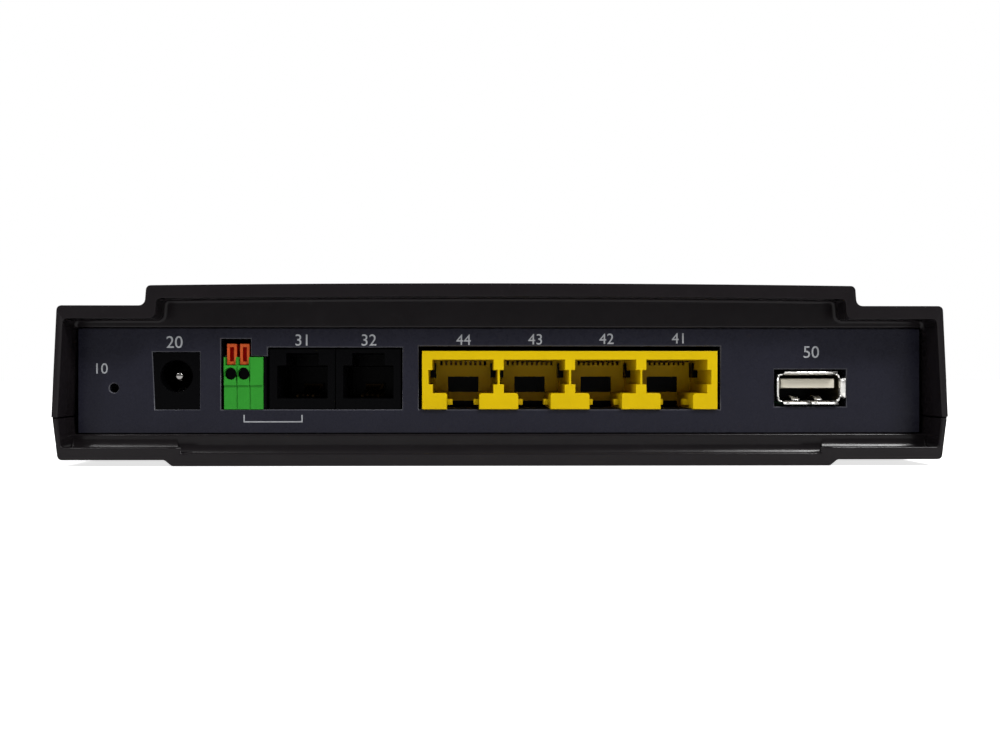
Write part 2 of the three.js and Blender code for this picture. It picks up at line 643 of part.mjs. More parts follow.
// ---------------------------------------------------------------- connectors
function ethernetHousing() {
  const e = ethernet;
  const y0 = panelFace - e.proud;
  const y1 = y0 + e.length;
  const back = y0 + e.cavity;
  const floor = boardTop + e.floor;
  const roof = boardTop + e.roof;
  const half = ethernetWidth / 2;
  let housing = box(ethernetMiddle - half, ethernetMiddle + half, y0, y1,
    boardTop, boardTop + e.height);
  for (const x of ethernetCentres) {
    const cut = (halfAcross, ...sides) => {
      housing = housing.subtract(box(x - halfAcross, x + halfAcross, ...sides));
    };
    cut(e.mouth / 2, y0 - past, back, floor, roof);
    cut(e.mouth / 2 + e.notchDepth, y0 - past, y0 + e.cavity / 2,
      boardTop + e.notchLow, boardTop + e.notchHigh);
    cut(e.latchGap / 2, y0 - past, back, boardTop - past, floor + past);
    cut(e.windowWidth / 2, back - past, y1 + past, floor, floor + e.windowHeight);
    cut(e.mouth / 2, back + e.backWall, y1 + past, floor, roof);
    for (const side of mirrored) {
      const inner = x + side * (e.latchGap / 2 - e.tab);
      const outer = x + side * (e.latchGap / 2 + past);
      housing = housing.add(box(Math.min(inner, outer), Math.max(inner, outer),
        y0 + e.tabSetback, y0 + e.tabSetback + e.tabLength, boardTop + e.tabLow, boardTop + e.tabHigh));
    }
    for (const offset of centred(e.combSlots, e.wirePitch)) {
      const slotX = x + offset;
      housing = housing.subtract(box(slotX - e.combSlot / 2, slotX + e.combSlot / 2,
        back - past, back + e.backWall + past, roof - e.combDrop, roof));
    }
  }
  return housing;
}

// Wires held by a strip behind the back wall, reaching forward under the roof.
function ethernetContacts(x) {
  const e = ethernet;
  const strip = panelFace - e.proud + e.cavity + e.backWall + fit;
  const tip = strip - e.backWall - e.wireReach;
  const top = boardTop + e.roof - e.wireDrop;
  const low = boardTop + e.floor + e.windowHeight + fit;
  const half = (e.wires * e.wirePitch) / 2 + e.stripMargin;
  return centred(e.wires, e.wirePitch)
    .map((offset) => x + offset)
    .map((wireX) => box(wireX - e.wire / 2, wireX + e.wire / 2,
      tip, strip + e.strip / 2, top - e.wire, top))
    .reduce((all, wire) => all.add(wire), box(x - half, x + half, strip, strip + e.strip, low, top));
}

function phoneHousing(x) {
  const p = phoneJack;
  const y0 = panelFace + p.setback;
  const roof = boardTop + p.roof;
  const half = p.width / 2;
  const mouth = p.mouth / 2;
  const latch = p.latchWidth / 2;
  return box(x - half, x + half, y0, y0 + p.length, boardTop, boardTop + p.height)
    .subtract(box(x - mouth, x + mouth, y0 - past, y0 + p.cavity, boardTop + p.floor, roof))
    .subtract(box(x - latch, x + latch, y0 - past, y0 + p.cavity - p.latchStop,
      roof - past, boardTop + p.latchTop));
}

// Spring wires that rise towards the back of the socket, where a strip holds them.
function phoneContacts(x) {
  const p = phoneJack;
  const tip = panelFace + p.setback + p.wireStart;
  const back = panelFace + p.setback + p.cavity - fit;
  const root = back - p.strip / 2;
  const low = boardTop + p.floor + p.wireLift;
  const high = low + p.wireRise;
  const half = ((p.wires - 1) * p.wirePitch) / 2 + p.stripMargin;
  const wire = [[tip, low], [root, high - p.wire], [root, high], [tip, low + p.wire]];
  return centred(p.wires, p.wirePitch)
    .map((offset) => x + offset)
    .map((wireX) => prismX(wire, wireX - p.wire / 2, wireX + p.wire / 2))
    .reduce((all, one) => all.add(one),
      box(x - half, x + half, back - p.strip, back, low, low + p.stripRise));
}

function powerHousing() {
  const p = powerJack;
  const y0 = panelFace + p.setback;
  const axis = boardTop + p.axisHeight;
  const boreEnd = y0 + p.boreDepth;
  const half = p.width / 2;
  const slot = p.slotWidth / 2;
  return box(powerX - half, powerX + half, y0, y0 + p.length, boardTop, boardTop + p.height)
    .subtract(rodY(powerX, axis, p.bore, y0 - past, boreEnd, 28))
    .subtract(rodY(powerX, axis, p.pin + fit, y0, boreEnd + p.pinRoot + fit, 16))
    .subtract(box(powerX - slot, powerX + slot, y0 + p.slotStart, boreEnd + p.slotPast,
      axis - p.bore - p.slotDrop, axis - p.slotTop));
}

function powerPin() {
  const p = powerJack;
  const axis = boardTop + p.axisHeight;
  const end = p.boreDepth + p.pinRoot - p.pinSetback;
  const profile = [
    [0, 0], [p.pin - p.pinTip, 0], [p.pin - p.pinTip / 4, p.pinTip / 3], [p.pin, p.pinTip],
    [p.pin, end], [0, end],
  ].map(([radius, y]) => new THREE.Vector2(radius, y));
  const pin = new THREE.LatheGeometry(profile, 20);
  return toSolid(pin.translate(powerX, panelFace + p.setback + p.pinSetback, axis));
}

// A bowed strip under the bore that presses on an inserted plug.
function powerSpring() {
  const p = powerJack;
  const y0 = panelFace + p.setback;
  const low = boardTop + p.axisHeight - p.bore - p.slotDrop + fit;
  const start = y0 + p.slotStart + fit;
  const end = y0 + p.boreDepth + p.slotPast - fit;
  const bow = (end - start) / 3;
  const crest = p.springCrest / 2;
  const arch = [
    [start, low], [end, low], [end, low + p.springSheet], [end - bow, low + p.springSheet],
    [start + bow + crest, low + p.springRise], [start + bow - crest, low + p.springRise],
    [start, low + p.springSheet],
  ];
  return prismX(arch, powerX - p.springWidth / 2, powerX + p.springWidth / 2);
}

function terminalHousing() {
  const t = terminal;
  const y0 = panelFace - t.proud;
  const stepZ = boardTop + t.stepHeight;
  const top = boardTop + t.height;
  const chamber = y0 + t.chamberSetback;
  const leafEnd = chamber + t.fingerReach + fit + t.leafSheet;
  const chamberEnd = leafEnd + t.buttonTravel + t.chamberSpare;
  let housing = box(terminalLeft, terminalRight, y0 + t.step, y0 + t.length, boardTop, top)
    .add(box(terminalLeft, terminalRight, y0, y0 + t.step + past, stepZ, top));
  for (const i of range(t.columns - 1)) {
    const x = terminalLeft + (i + 1) * t.pitch;
    const half = t.grooveWidth / 2;
    housing = housing
      .subtract(box(x - half, x + half, y0 - past, y0 + t.grooveDepth, stepZ, top + past))
      .subtract(box(x - half, x + half, y0 - past, y0 + t.step + t.grooveDepth, 0, stepZ));
  }
  for (const x of clampCentres) {
    const half = buttonWidth / 2;
    const channel = half + slide;
    const channelFloor = boardTop + t.buttonLow - slide;
    housing = housing
      .subtract(rodY(x, boardTop + t.wireHeight, wireRadius, y0 - past, chamber + past, 16))
      .subtract(box(x - half, x + half, chamber, chamberEnd,
        boardTop + t.chamberFloor, channelFloor + past))
      .subtract(box(x - channel, x + channel, y0 - past, chamberEnd, channelFloor, top + past));
  }
  return housing;
}

// A button with a screwdriver slot and a finger that reaches back to the clamp spring.
function terminalButton(x) {
  const t = terminal;
  const y0 = panelFace - t.proud + t.buttonSetback;
  const fingerTip = panelFace - t.proud + t.chamberSetback + t.fingerReach;
  const low = boardTop + t.buttonLow;
  const high = boardTop + t.buttonHigh;
  const half = buttonWidth / 2;
  const slot = t.slotWidth / 2;
  return box(x - half, x + half, y0, y0 + t.buttonLength, low, high)
    .add(box(x - half, x + half, y0, fingerTip, low, low + t.fingerHeight))
    .subtract(box(x - slot, x + slot, y0 - past, y0 + t.slotDepth,
      low + t.slotEdge, high - t.slotEdge));
}

// A leaf that stands on its foot behind the wire's way in; the button's finger tips it back.
function terminalSpring(x) {
  const t = terminal;
  const face = panelFace - t.proud + t.chamberSetback + t.fingerReach + fit;
  const low = boardTop + t.chamberFloor + fit;
  const high = boardTop + t.buttonLow + t.leafLap;
  const toe = face - t.leafFoot;
  const leaf = [
    [toe, low], [face + t.leafSheet, low], [face + t.leafSheet, high], [face, high],
    [face, low + t.leafSheet], [toe, low + t.leafSheet],
  ];
  const half = buttonWidth / 2 - t.leafSideGap;
  return prismX(leaf, x - half, x + half);
}

// A folded sheet-metal tube with a flared mouth.
function usbShell() {
  const u = usb;
  const y0 = panelFace - u.proud;
  const y1 = y0 + u.length;
  const throat = y0 + u.flareLength;
  const level = boardTop + u.level;
  const ring = (grow) => rectangle(usbX - u.width / 2 - grow, usbX + u.width / 2 + grow,
    level - u.height / 2 - grow, level + u.height / 2 + grow, u.corner + grow);
  return prismY(ring(0), throat, y1)
    .add(loftY(ring(u.flare), y0, ring(0), throat))
    .subtract(prismY(ring(-u.sheet), throat - u.sheet, y1 + past))
    .subtract(loftY(ring(u.flare - u.sheet / 2), y0, ring(-u.sheet), throat));
}

function usbTongue() {
  const u = usb;
  const y0 = panelFace - u.proud;
  const end = y0 + u.length - fit;
  const level = boardTop + u.level;
  const half = u.width / 2 - u.sheet - fit;
  const halfHigh = u.height / 2 - u.sheet - fit;
  const block = rectangle(usbX - half, usbX + half, level - halfHigh, level + halfHigh, u.blockCorner);
  const middle = boardTop + u.tongueLevel;
  const tongueHalf = u.tongueThickness / 2;
  return box(usbX - u.tongueWidth / 2, usbX + u.tongueWidth / 2, y0 + u.tongueSetback,
    end - u.blockLength / 2, middle - tongueHalf, middle + tongueHalf)
    .add(prismY(block, end - u.blockLength, end));
}

function resetBody() {
  const r = reset;
  const y0 = flangeBack + r.bodySetback;
  const half = r.bodyWidth / 2;
  const bore = r.plunger + slide;
  return box(resetX - half, resetX + half, y0, y0 + r.bodyLength, boardTop, boardTop + r.bodyHeight)
    .subtract(rodY(resetX, boardTop + r.level, bore, y0 - past, y0 + r.boreDepth, 16));
}

function resetPlunger() {
  const r = reset;
  const y0 = flangeBack + r.bodySetback;
  return rodY(resetX, boardTop + r.level, r.plunger, y0 - r.plungerReach, y0 + r.plungerTail, 16);
}

// ---------------------------------------------------------------- assembly
addPiece('top_cover', topCover(), shellPlastic);
addPiece('bottom_base', bottomBase(), shellPlastic);
addPiece('rear_panel', rearPanel(), panelPlastic);
addPiece('front_window', frontWindow(), smokedWindow);
addPiece('light_guide', lightGuide(), clearPlastic);
postPlaces.forEach(([x, y], i) => {
  addPiece(`case_screw_${i + 1}`, screw(x, y, caseScrew, caseScrew.seat, false), zincSteel);
});
addPiece('main_board', mainBoard(), boardLaminate);
bossPlaces.forEach(([x, y], i) => {
  addPiece(`board_screw_${i + 1}`, screw(x, y, boardScrew, boardTop, true), zincSteel);
});
for (const [name, x, y, sizeX, sizeY, rise, material] of flatParts) {
  const outline = rectangle(x - sizeX / 2, x + sizeX / 2, y - sizeY / 2, y + sizeY / 2);
  addPiece(name, prismZ(outline, boardTop, boardTop + rise), material);
}
for (const [name, x, y, radius, rise] of capacitors) {
  addPiece(name, rodZ(x, y, radius, boardTop, boardTop + rise), aluminium);
}
addPiece('heat_sink', heatSink(processor), aluminium);
centred(lampCount, lampPitch).forEach((x, i) => {
  const lamp = box(x - lampSize.x / 2, x + lampSize.x / 2, lampY - lampSize.y / 2,
    lampY + lampSize.y / 2, boardTop, boardTop + lampSize.z);
  addPiece(`status_lamp_${i + 1}`, lamp, creamMoulding);
});
addPiece('power_jack_body', powerHousing(), blackMoulding);
addPiece('power_jack_pin', powerPin(), nickel);
addPiece('power_jack_spring', powerSpring(), nickel);
addPiece('terminal_block', terminalHousing(), greenMoulding);
clampCentres.forEach((x, i) => {
  addPiece(`clamp_button_${i + 1}`, terminalButton(x), orangeMoulding);
  addPiece(`clamp_spring_${i + 1}`, terminalSpring(x), zincSteel);
});
['line', 'phone'].forEach((name, i) => {
  addPiece(`${name}_jack_body`, phoneHousing(phoneCentres[i]), blackMoulding);
  addPiece(`${name}_jack_contacts`, phoneContacts(phoneCentres[i]), goldPlate);
});
addPiece('ethernet_housing', ethernetHousing(), yellowMoulding);
ethernetCentres.forEach((x, i) => {
  addPiece(`ethernet_contacts_${i + 1}`, ethernetContacts(x), goldPlate);
});
addPiece('usb_shell', usbShell(), nickel);
addPiece('usb_tongue', usbTongue(), creamMoulding);
addPiece('reset_switch_body', resetBody(), blackMoulding);
addPiece('reset_plunger', resetPlunger(), creamMoulding);

export default group;
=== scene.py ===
"""Looks of the desktop network terminal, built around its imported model.

X runs along the port panel, -Y is the port side and +Z is up, as in the model. Lengths are named in
millimetres, and MM turns them into metres.
"""

import json
import math

import bmesh
import bpy
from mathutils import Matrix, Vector

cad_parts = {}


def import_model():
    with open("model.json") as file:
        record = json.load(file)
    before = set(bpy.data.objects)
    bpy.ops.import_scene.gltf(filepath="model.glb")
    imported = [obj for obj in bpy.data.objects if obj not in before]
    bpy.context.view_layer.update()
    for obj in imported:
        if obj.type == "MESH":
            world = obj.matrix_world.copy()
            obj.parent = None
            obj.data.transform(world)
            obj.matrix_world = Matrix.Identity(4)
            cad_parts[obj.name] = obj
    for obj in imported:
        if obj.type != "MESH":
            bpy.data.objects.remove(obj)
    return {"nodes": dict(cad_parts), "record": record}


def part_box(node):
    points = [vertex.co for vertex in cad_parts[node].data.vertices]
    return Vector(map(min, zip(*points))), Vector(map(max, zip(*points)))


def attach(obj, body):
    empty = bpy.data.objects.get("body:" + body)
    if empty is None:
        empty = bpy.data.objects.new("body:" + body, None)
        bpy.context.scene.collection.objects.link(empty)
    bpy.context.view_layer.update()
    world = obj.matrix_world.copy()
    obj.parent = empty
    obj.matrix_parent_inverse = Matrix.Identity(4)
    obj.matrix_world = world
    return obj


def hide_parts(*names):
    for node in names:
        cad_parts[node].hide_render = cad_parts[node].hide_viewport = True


MM = 0.001
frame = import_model()
nodes = frame["nodes"]
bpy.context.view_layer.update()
scene = bpy.context.scene


def corners(node):
    """Lowest and highest corner of a CAD node, in millimetres."""
    low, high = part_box(node)
    return low / MM, high / MM


cover_low, cover_high = corners("top_cover")
base_low, base_high = corners("bottom_base")
panel_low, panel_high = corners("rear_panel")
rear = cover_low.y

# Sizes of the housing that the boxes of the nodes don't give
LIP_DEPTH = 4.9
SILL = 5.7
BROW = 26.45
SHOULDER = 30.35
recess_wall = rear + LIP_DEPTH

# ---------------------------------------------------------------- materials


def srgb(*values):
    """Linear colour of an sRGB colour given as 0 to 255."""
    shares = [v / 255 for v in values]
    return [s / 12.92 if s <= 0.04045 else ((s + 0.055) / 1.055) ** 2.4 for s in shares]


class Finish:
    """A node material around one Principled shader, with helpers for what the finishes share."""

    def __init__(self, name, roughness, metallic=0.0, specular=0.5):
        self.material = bpy.data.materials.new(name)
        self.material.use_nodes = True
        self.tree = self.material.node_tree
        self.shader = self.tree.nodes["Principled BSDF"]
        self.shader.inputs["Roughness"].default_value = roughness
        self.shader.inputs["Metallic"].default_value = metallic
        self.shader.inputs["Specular IOR Level"].default_value = specular
        self.place = self.add("ShaderNodeTexCoord").outputs["Object"]
        self.normal = None

    def add(self, kind, **inputs):
        """A node of that kind. An input's name has _ for each space."""
        node = self.tree.nodes.new(kind)
        for name, value in inputs.items():
            node.inputs[name.replace("_", " ")].default_value = value
        return node

    def link(self, output, target):
        self.tree.links.new(output, target)

    def noise(self, size, detail=3.0, stretch=(1, 1, 1)):
        """Noise with features of that size in millimetres, longer along the stretched axes."""
        mapping = self.add("ShaderNodeMapping")
        mapping.inputs["Scale"].default_value = [1 / (s * size * MM) for s in stretch]
        self.link(self.place, mapping.inputs["Vector"])
        noise = self.add("ShaderNodeTexNoise", Scale=1.0, Detail=detail, Roughness=0.6)
        self.link(mapping.outputs["Vector"], noise.inputs["Vector"])
        return noise.outputs["Fac"]

    def spread(self, value, low, high, start=0.3, end=0.7):
        """Maps start to end of a value onto low to high."""
        node = self.add(
            "ShaderNodeMapRange", From_Min=start, From_Max=end, To_Min=low, To_Max=high)
        self.link(value, node.inputs["Value"])
        return node.outputs["Result"]

    def mix(self, share, first, second):
        """Colour between two colours, each a list of three numbers or another node's output."""
        node = self.add("ShaderNodeMix")
        node.data_type = "RGBA"
        sockets = [s for s in node.inputs if s.type == "RGBA"]
        for socket, colour in zip(sockets, (first, second)):
            if isinstance(colour, list):
                socket.default_value = (*colour, 1)
            else:
                self.link(colour, socket)
        self.link(share, node.inputs["Factor"])
        return next(s for s in node.outputs if s.type == "RGBA")

    def drifting(self, colour, tone, size):
        """A colour that drifts by a share of itself over patches of that size."""
        dark = [c * (1 - tone) for c in colour]
        pale = [c * (1 + tone) for c in colour]
        return self.mix(self.spread(self.noise(size), 0, 1), dark, pale)

    def paint(self, colour):
        self.link(colour, self.shader.inputs["Base Color"])

    def behind(self, start, end):
        """0 to 1 between two places along the object's Y, given in millimetres."""
        parts = self.add("ShaderNodeSeparateXYZ")
        self.link(self.place, parts.inputs["Vector"])
        return self.spread(parts.outputs["Y"], 0, 1, start * MM, end * MM)

    def gloss_drift(self, size, low, high):
        self.link(self.spread(self.noise(size), low, high), self.shader.inputs["Roughness"])

    def relief(self, height, depth):
        """Adds relief of that depth in millimetres to what there is already."""
        bump = self.add("ShaderNodeBump", Distance=depth * MM, Strength=1.0)
        self.link(height, bump.inputs["Height"])
        if self.normal:
            self.link(self.normal, bump.inputs["Normal"])
        self.normal = bump.outputs["Normal"]
        self.link(self.normal, self.shader.inputs["Normal"])


def moulded(name, colour, roughness, specular, tone=0.05, grain=0.3, depth=0.004):
    """Moulded plastic: colour drift, uneven gloss and a fine relief."""
    finish = Finish(name, roughness, specular=specular)
    finish.paint(finish.drifting(colour, tone, 6))
    finish.gloss_drift(1.5, roughness - 0.05, roughness + 0.05)
    finish.relief(finish.noise(grain, 2.0), depth)
    return finish.material


def shell():
    """Spark-eroded black plastic with faint rubbed marks."""
    finish = Finish("shell_plastic", 0.22, specular=0.14)
    base = finish.drifting(srgb(24, 21, 23), 0.08, 9)
    marks = finish.noise(2.5, 4.0, (1, 7, 1))
    rubbed = finish.spread(marks, 0, 0.5, 0.64, 0.74)
    finish.paint(finish.mix(rubbed, base, srgb(32, 29, 31)))
    finish.gloss_drift(4, 0.19, 0.25)
    finish.relief(finish.noise(0.32, 2.0), 0.0012)
    finish.relief(finish.noise(14, 1.0), 0.01)
    return finish.material


def plated(name, colour, roughness, stretch=(1, 1, 1)):
    """Plated or bare metal with faint drawing marks."""
    finish = Finish(name, roughness, metallic=1.0)
    finish.paint(finish.drifting(colour, 0.06, 2))
    finish.gloss_drift(0.6, roughness - 0.06, roughness + 0.06)
    finish.relief(finish.noise(0.25, 2.0, stretch), 0.0012)
    return finish.material


def smoked():
    """Dark window with a polished face."""
    finish = Finish("smoked_window", 0.08)
    finish.paint(finish.drifting(srgb(14, 14, 17), 0.1, 12))
    finish.gloss_drift(8, 0.06, 0.1)
    finish.relief(finish.noise(9, 1.0), 0.004)
    return finish.material


def clear():
    """Clear plastic that lets most light through."""
    finish = Finish("clear_plastic", 0.12)
    finish.paint(finish.drifting([0.86, 0.9, 0.92], 0.02, 4))
    finish.gloss_drift(2, 0.1, 0.16)
    finish.shader.inputs["Transmission Weight"].default_value = 0.85
    return finish.material


def laminate():
    """Green solder mask with the shallow relief of the tracks under it."""
    finish = Finish("board_laminate", 0.4)
    finish.paint(finish.drifting([0.012, 0.1, 0.035], 0.25, 1.2))
    finish.gloss_drift(1, 0.32, 0.45)
    finish.relief(finish.noise(0.6, 2.0, (4, 1, 1)), 0.02)
    return finish.material


def button():
    """Orange button whose slot is a deep red, as light gets lost in it."""
    finish = Finish("orange_moulding", 0.4, specular=0.06)
    face = corners("clamp_button_1")[0].y
    deep = finish.behind(face + 0.05, face + 0.3)
    orange = finish.drifting(srgb(212, 92, 46), 0.06, 1)
    finish.paint(finish.mix(deep, orange, srgb(172, 3, 0)))
    finish.gloss_drift(0.8, 0.35, 0.45)
    finish.relief(finish.noise(0.2, 2.0), 0.003)
    return finish.material


def socket_block():
    """Yellow plastic that deepens inside the sockets, as light gets lost there."""
    finish = Finish("yellow_moulding", 0.4, specular=0.08)
    face = corners("ethernet_housing")[0].y
    deep = finish.behind(face + 0.6, face + 6)
    yellow = finish.drifting(srgb(213, 180, 3), 0.04, 6)
    finish.paint(finish.mix(deep, yellow, srgb(184, 150, 1)))
    finish.gloss_drift(1.5, 0.35, 0.45)
    finish.relief(finish.noise(0.3, 2.0), 0.004)
    return finish.material


PAINTED_HIGHLIGHT_NORMAL = (-0.97, -0.75)    # Y of the normal where the panel's painted edge highlight starts and is full


def panel():
    """Fine-grained plastic, with a painted highlight on its rounded edges and painted shade inside
    its holes.
    """
    finish = Finish("panel_plastic", 0.28, specular=0.1)
    parts = finish.add("ShaderNodeSeparateXYZ")
    finish.link(finish.add("ShaderNodeTexCoord").outputs["Normal"], parts.inputs["Vector"])
    edge_highlight_mask = finish.spread(parts.outputs["Y"], 0, 1, *PAINTED_HIGHLIGHT_NORMAL)
    # Painted light and shade: faces turned away from the front are pale within 0.2 mm behind the
    # panel's face and near black past 0.3 mm
    inside = finish.behind(panel_low.y + 0.2, panel_low.y + 0.3)
    edge = finish.mix(inside, srgb(84, 84, 90), srgb(20, 20, 24))
    finish.paint(finish.mix(edge_highlight_mask, finish.drifting(srgb(32, 32, 42), 0.06, 6), edge))
    finish.gloss_drift(1.5, 0.23, 0.33)
    finish.relief(finish.noise(0.22, 2.0), 0.0015)
    return finish.material


materials = {
    "shell_plastic": shell(),
    "panel_plastic": panel(),
    "smoked_window": smoked(),
    "clear_plastic": clear(),
    "board_laminate": laminate(),
    "black_moulding": moulded("black_moulding", srgb(4, 4, 5), 0.3, 0.03),
    "chip_epoxy": moulded("chip_epoxy", srgb(24, 24, 26), 0.6, 0.3),
    "yellow_moulding": socket_block(),
    # Gold darkened almost to black: painted shade for wires deep in the phone jacks
    "painted_shade_gold": plated("painted_shade_gold", (0.02, 0.012, 0.005), 0.5),
    "dull_pin": plated("dull_pin", (0.3, 0.29, 0.28), 0.12),
    "tube_shade": moulded("tube_shade", srgb(34, 29, 18), 0.4, 0.15, 0.2),
    "green_moulding": moulded("green_moulding", srgb(47, 143, 44), 0.4, 0.1, 0.05),
    "orange_moulding": button(),
    "cream_moulding": moulded("cream_moulding", srgb(217, 211, 194), 0.45, 0.2, 0.04),
    "nickel_plate": plated("nickel_plate", (0.82, 0.81, 0.78), 0.3, (1, 6, 1)),
    "zinc_steel": plated("zinc_steel", (0.5, 0.51, 0.53), 0.36),
    # Gold darkened to a deep brown: painted shade, as its contacts lie deep in the sockets
    "gold_plate": plated("gold_plate", (0.08, 0.04, 0.013), 0.45, (1, 6, 1)),
    "aluminium": plated("aluminium", (0.62, 0.63, 0.64), 0.4, (1, 5, 1)),
    "print_ink": moulded("print_ink", srgb(168, 170, 174), 0.55, 0.2, 0.04, 0.15, 0.003),
    "blank_paper": moulded("blank_paper", srgb(214, 212, 205), 0.7, 0.2, 0.03, 0.12, 0.004),
}

# ---------------------------------------------------------------- meshes
WELD = 0.0005               # vertices nearer than this are one
FLAT = math.radians(0.03)   # faces that turn less than this are one
SHARP = math.radians(35)    # edges that turn more than this are corners
NEAR = 0.01                 # places nearer than this are the same
MIDDLE = Vector((0, 0, 17))    # inside the housing, about halfway up


def put_finish(piece, slot):
    """Puts the finish of that name on a piece, as its only one."""
    piece.data.materials.clear()
    piece.data.materials.append(materials[slot])


def smooth_normals(piece):
    """Smooth shading that keeps the large flat faces flat."""
    mesh = piece.data
    mesh.polygons.foreach_set("use_smooth", [True] * len(mesh.polygons))
    mesh.set_sharp_from_angle(angle=SHARP)
    weighted = piece.modifiers.new("weighted_normals", "WEIGHTED_NORMAL")
    weighted.keep_sharp = True


def add_object(name, mesh):
    piece = bpy.data.objects.new(name, mesh)
    scene.collection.objects.link(piece)
    return piece


def new_piece(name, bm, slot, body="housing", node=None):
    """A piece from a mesh made in millimetres. It stands for the node, if one is named."""
    bmesh.ops.scale(bm, vec=(MM,) * 3, verts=bm.verts)
    mesh = bpy.data.meshes.new(name)
    bm.to_mesh(mesh)
    bm.free()
    piece = add_object(name, mesh)
    put_finish(piece, slot)
    smooth_normals(piece)
    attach(piece, body)
    if node:
        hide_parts(node)
    return piece


def node_mesh(node):
    """A node's mesh in millimetres, with its flat faces made whole."""
    bm = bmesh.new()
    bm.from_mesh(nodes[node].data)
    bmesh.ops.scale(bm, vec=(1 / MM,) * 3, verts=bm.verts)
    bmesh.ops.remove_doubles(bm, verts=bm.verts, dist=WELD)
    bmesh.ops.dissolve_limit(bm, angle_limit=FLAT, verts=bm.verts, edges=bm.edges)
    return bm


def round_edges(bm, radius, steps, test, clamp=True):
    """Rounds the sharp edges that pass the test. The clamp holds the radius back at short edges."""
    edges = [e for e in bm.edges if e.is_manifold and e.calc_face_angle() > SHARP and test(e)]
    bmesh.ops.bevel(
        bm, geom=edges, offset=radius, offset_type="OFFSET", segments=steps, profile=0.5,
        affect="EDGES", clamp_overlap=clamp)


def bridge(bm, first, second):
    """Faces all the way round between two rings of as many vertices."""
    for i in range(len(first)):
        bm.faces.new((first[i - 1], first[i], second[i], second[i - 1]))


def edge_middle(edge):
    return (edge.verts[0].co + edge.verts[1].co) / 2


def lies_at(edge, axis, value):
    """Whether the edge lies in the plane where that axis has that value."""
    index = "xyz".index(axis)
    return all(abs(v.co[index] - value) < NEAR for v in edge.verts)


def faces_out(edge):
    """Whether an edge of the rim is on its outside: its wall looks away from the middle."""
    wall = min(edge.link_faces, key=lambda face: abs(face.normal.y))
    return wall.normal.dot(edge_middle(edge) - MIDDLE) > 0


# ---------------------------------------------------------------- housing
OUTER_ROUND = 0.06
RIM_ROUND = 0.3
WALL_ROUND = 0.35
BROW_ROUND = 0.1
COVE = 0.6
JOINT_ROUND = 0.1
SLOT_ROUND = 0.25
JOINT_GAP = 0.3
OUTSIDE_X = 83.5            # an edge past this is on the housing's side
OUTSIDE_Y = 61              # and past this on its indicator side
joint = cover_low.z - JOINT_GAP


def near_outside(edge):
    """Whether an edge of the joint is on the outside of the housing or in its recess."""
    middle = edge_middle(edge)
    return abs(middle.x) > OUTSIDE_X or middle.y > OUTSIDE_Y or middle.y < recess_wall + 1


def round_rim(bm):
    """Rounds the edges that both shells have around the port recess."""
    round_edges(bm, WALL_ROUND, 3, lambda e: lies_at(e, "y", recess_wall)
                and abs(edge_middle(e).z - SILL) < NEAR)
    round_edges(bm, RIM_ROUND, 3, lambda e: lies_at(e, "y", rear) and edge_middle(e).z < BROW
                and not faces_out(e), clamp=False)
    round_edges(bm, OUTER_ROUND, 2, lambda e: lies_at(e, "y", rear) and faces_out(e))


def top_cover():
    bm = node_mesh("top_cover")
    round_edges(bm, COVE, 5, lambda e: lies_at(e, "y", recess_wall)
                and edge_middle(e).z > BROW + NEAR)
    round_edges(bm, WALL_ROUND, 3, lambda e: lies_at(e, "y", recess_wall))
    round_edges(bm, BROW_ROUND, 2, lambda e: lies_at(e, "y", rear) and edge_middle(e).z > BROW
                and not faces_out(e))
    round_rim(bm)
    round_edges(bm, JOINT_ROUND, 2, lambda e: lies_at(e, "z", cover_low.z) and near_outside(e))
    round_edges(bm, SLOT_ROUND, 2, lambda e: lies_at(e, "z", SHOULDER))
    round_edges(bm, SLOT_ROUND, 2, lambda e: lies_at(e, "y", cover_high.y))
    new_piece("cover_shell", bm, "shell_plastic", node="top_cover")


RIM_LOW = 2.4               # the two levels of the lower rim's floor
RIM_HIGH = 3.55
RIM_UNDER = 2.3             # what lies lower than this is not part of that floor
STEP_START = 60.2           # the rim steps up between these, as modelled
STEP_END = 62.3
STEP = 60.6                 # and here in the looks, at the rim's edge
STEP_SKEW = 2.4             # how much further out it is at the recess wall
CORNER_START = 82.0         # the floor's outer corner is round between these, as modelled
CORNER_END = 82.98
CORNER_MOVED = 83.3         # where its end lies in the looks
CORNER_SHARE = 0.4          # of its size that is left
WALL_MOVED = 0.23           # how far the wall past it moves out
GUTTER_START = 0.7          # the gutter sinks between these distances from the rim's edge
GUTTER_END = 1.2
GUTTER_BOTTOM = 1.28        # its depth
GUTTER_COVE = 2.6           # radius of the cove up to the recess wall
COVE_STEPS = 12
SHELF_ENDS = (59.8, 63.4, 81.6)    # rows that keep the smooth shading of the floor straight


def sharpen_rim(bm):
    """Makes the step between the rim's two levels upright, and its two lower corners tight."""
    for vert in bm.verts:
        in_rim = rear - NEAR < vert.co.y < recess_wall + NEAR
        if not in_rim or not RIM_UNDER < vert.co.z < SILL + NEAR:
            continue
        side = math.copysign(1, vert.co.x)
        out = abs(vert.co.x)
        if STEP_START < out < STEP_END:
            vert.co.x = side * (STEP + STEP_SKEW * (vert.co.y - rear) / LIP_DEPTH)
            vert.co.z = RIM_HIGH if vert.co.z > (RIM_LOW + RIM_HIGH) / 2 else RIM_LOW
        elif out > CORNER_END + 0.1:
            vert.co.x = side * (out + WALL_MOVED)
        elif out > CORNER_START:
            vert.co.x = side * (CORNER_MOVED + (out - CORNER_END) * CORNER_SHARE)
    bmesh.ops.remove_doubles(bm, verts=bm.verts, dist=WELD)


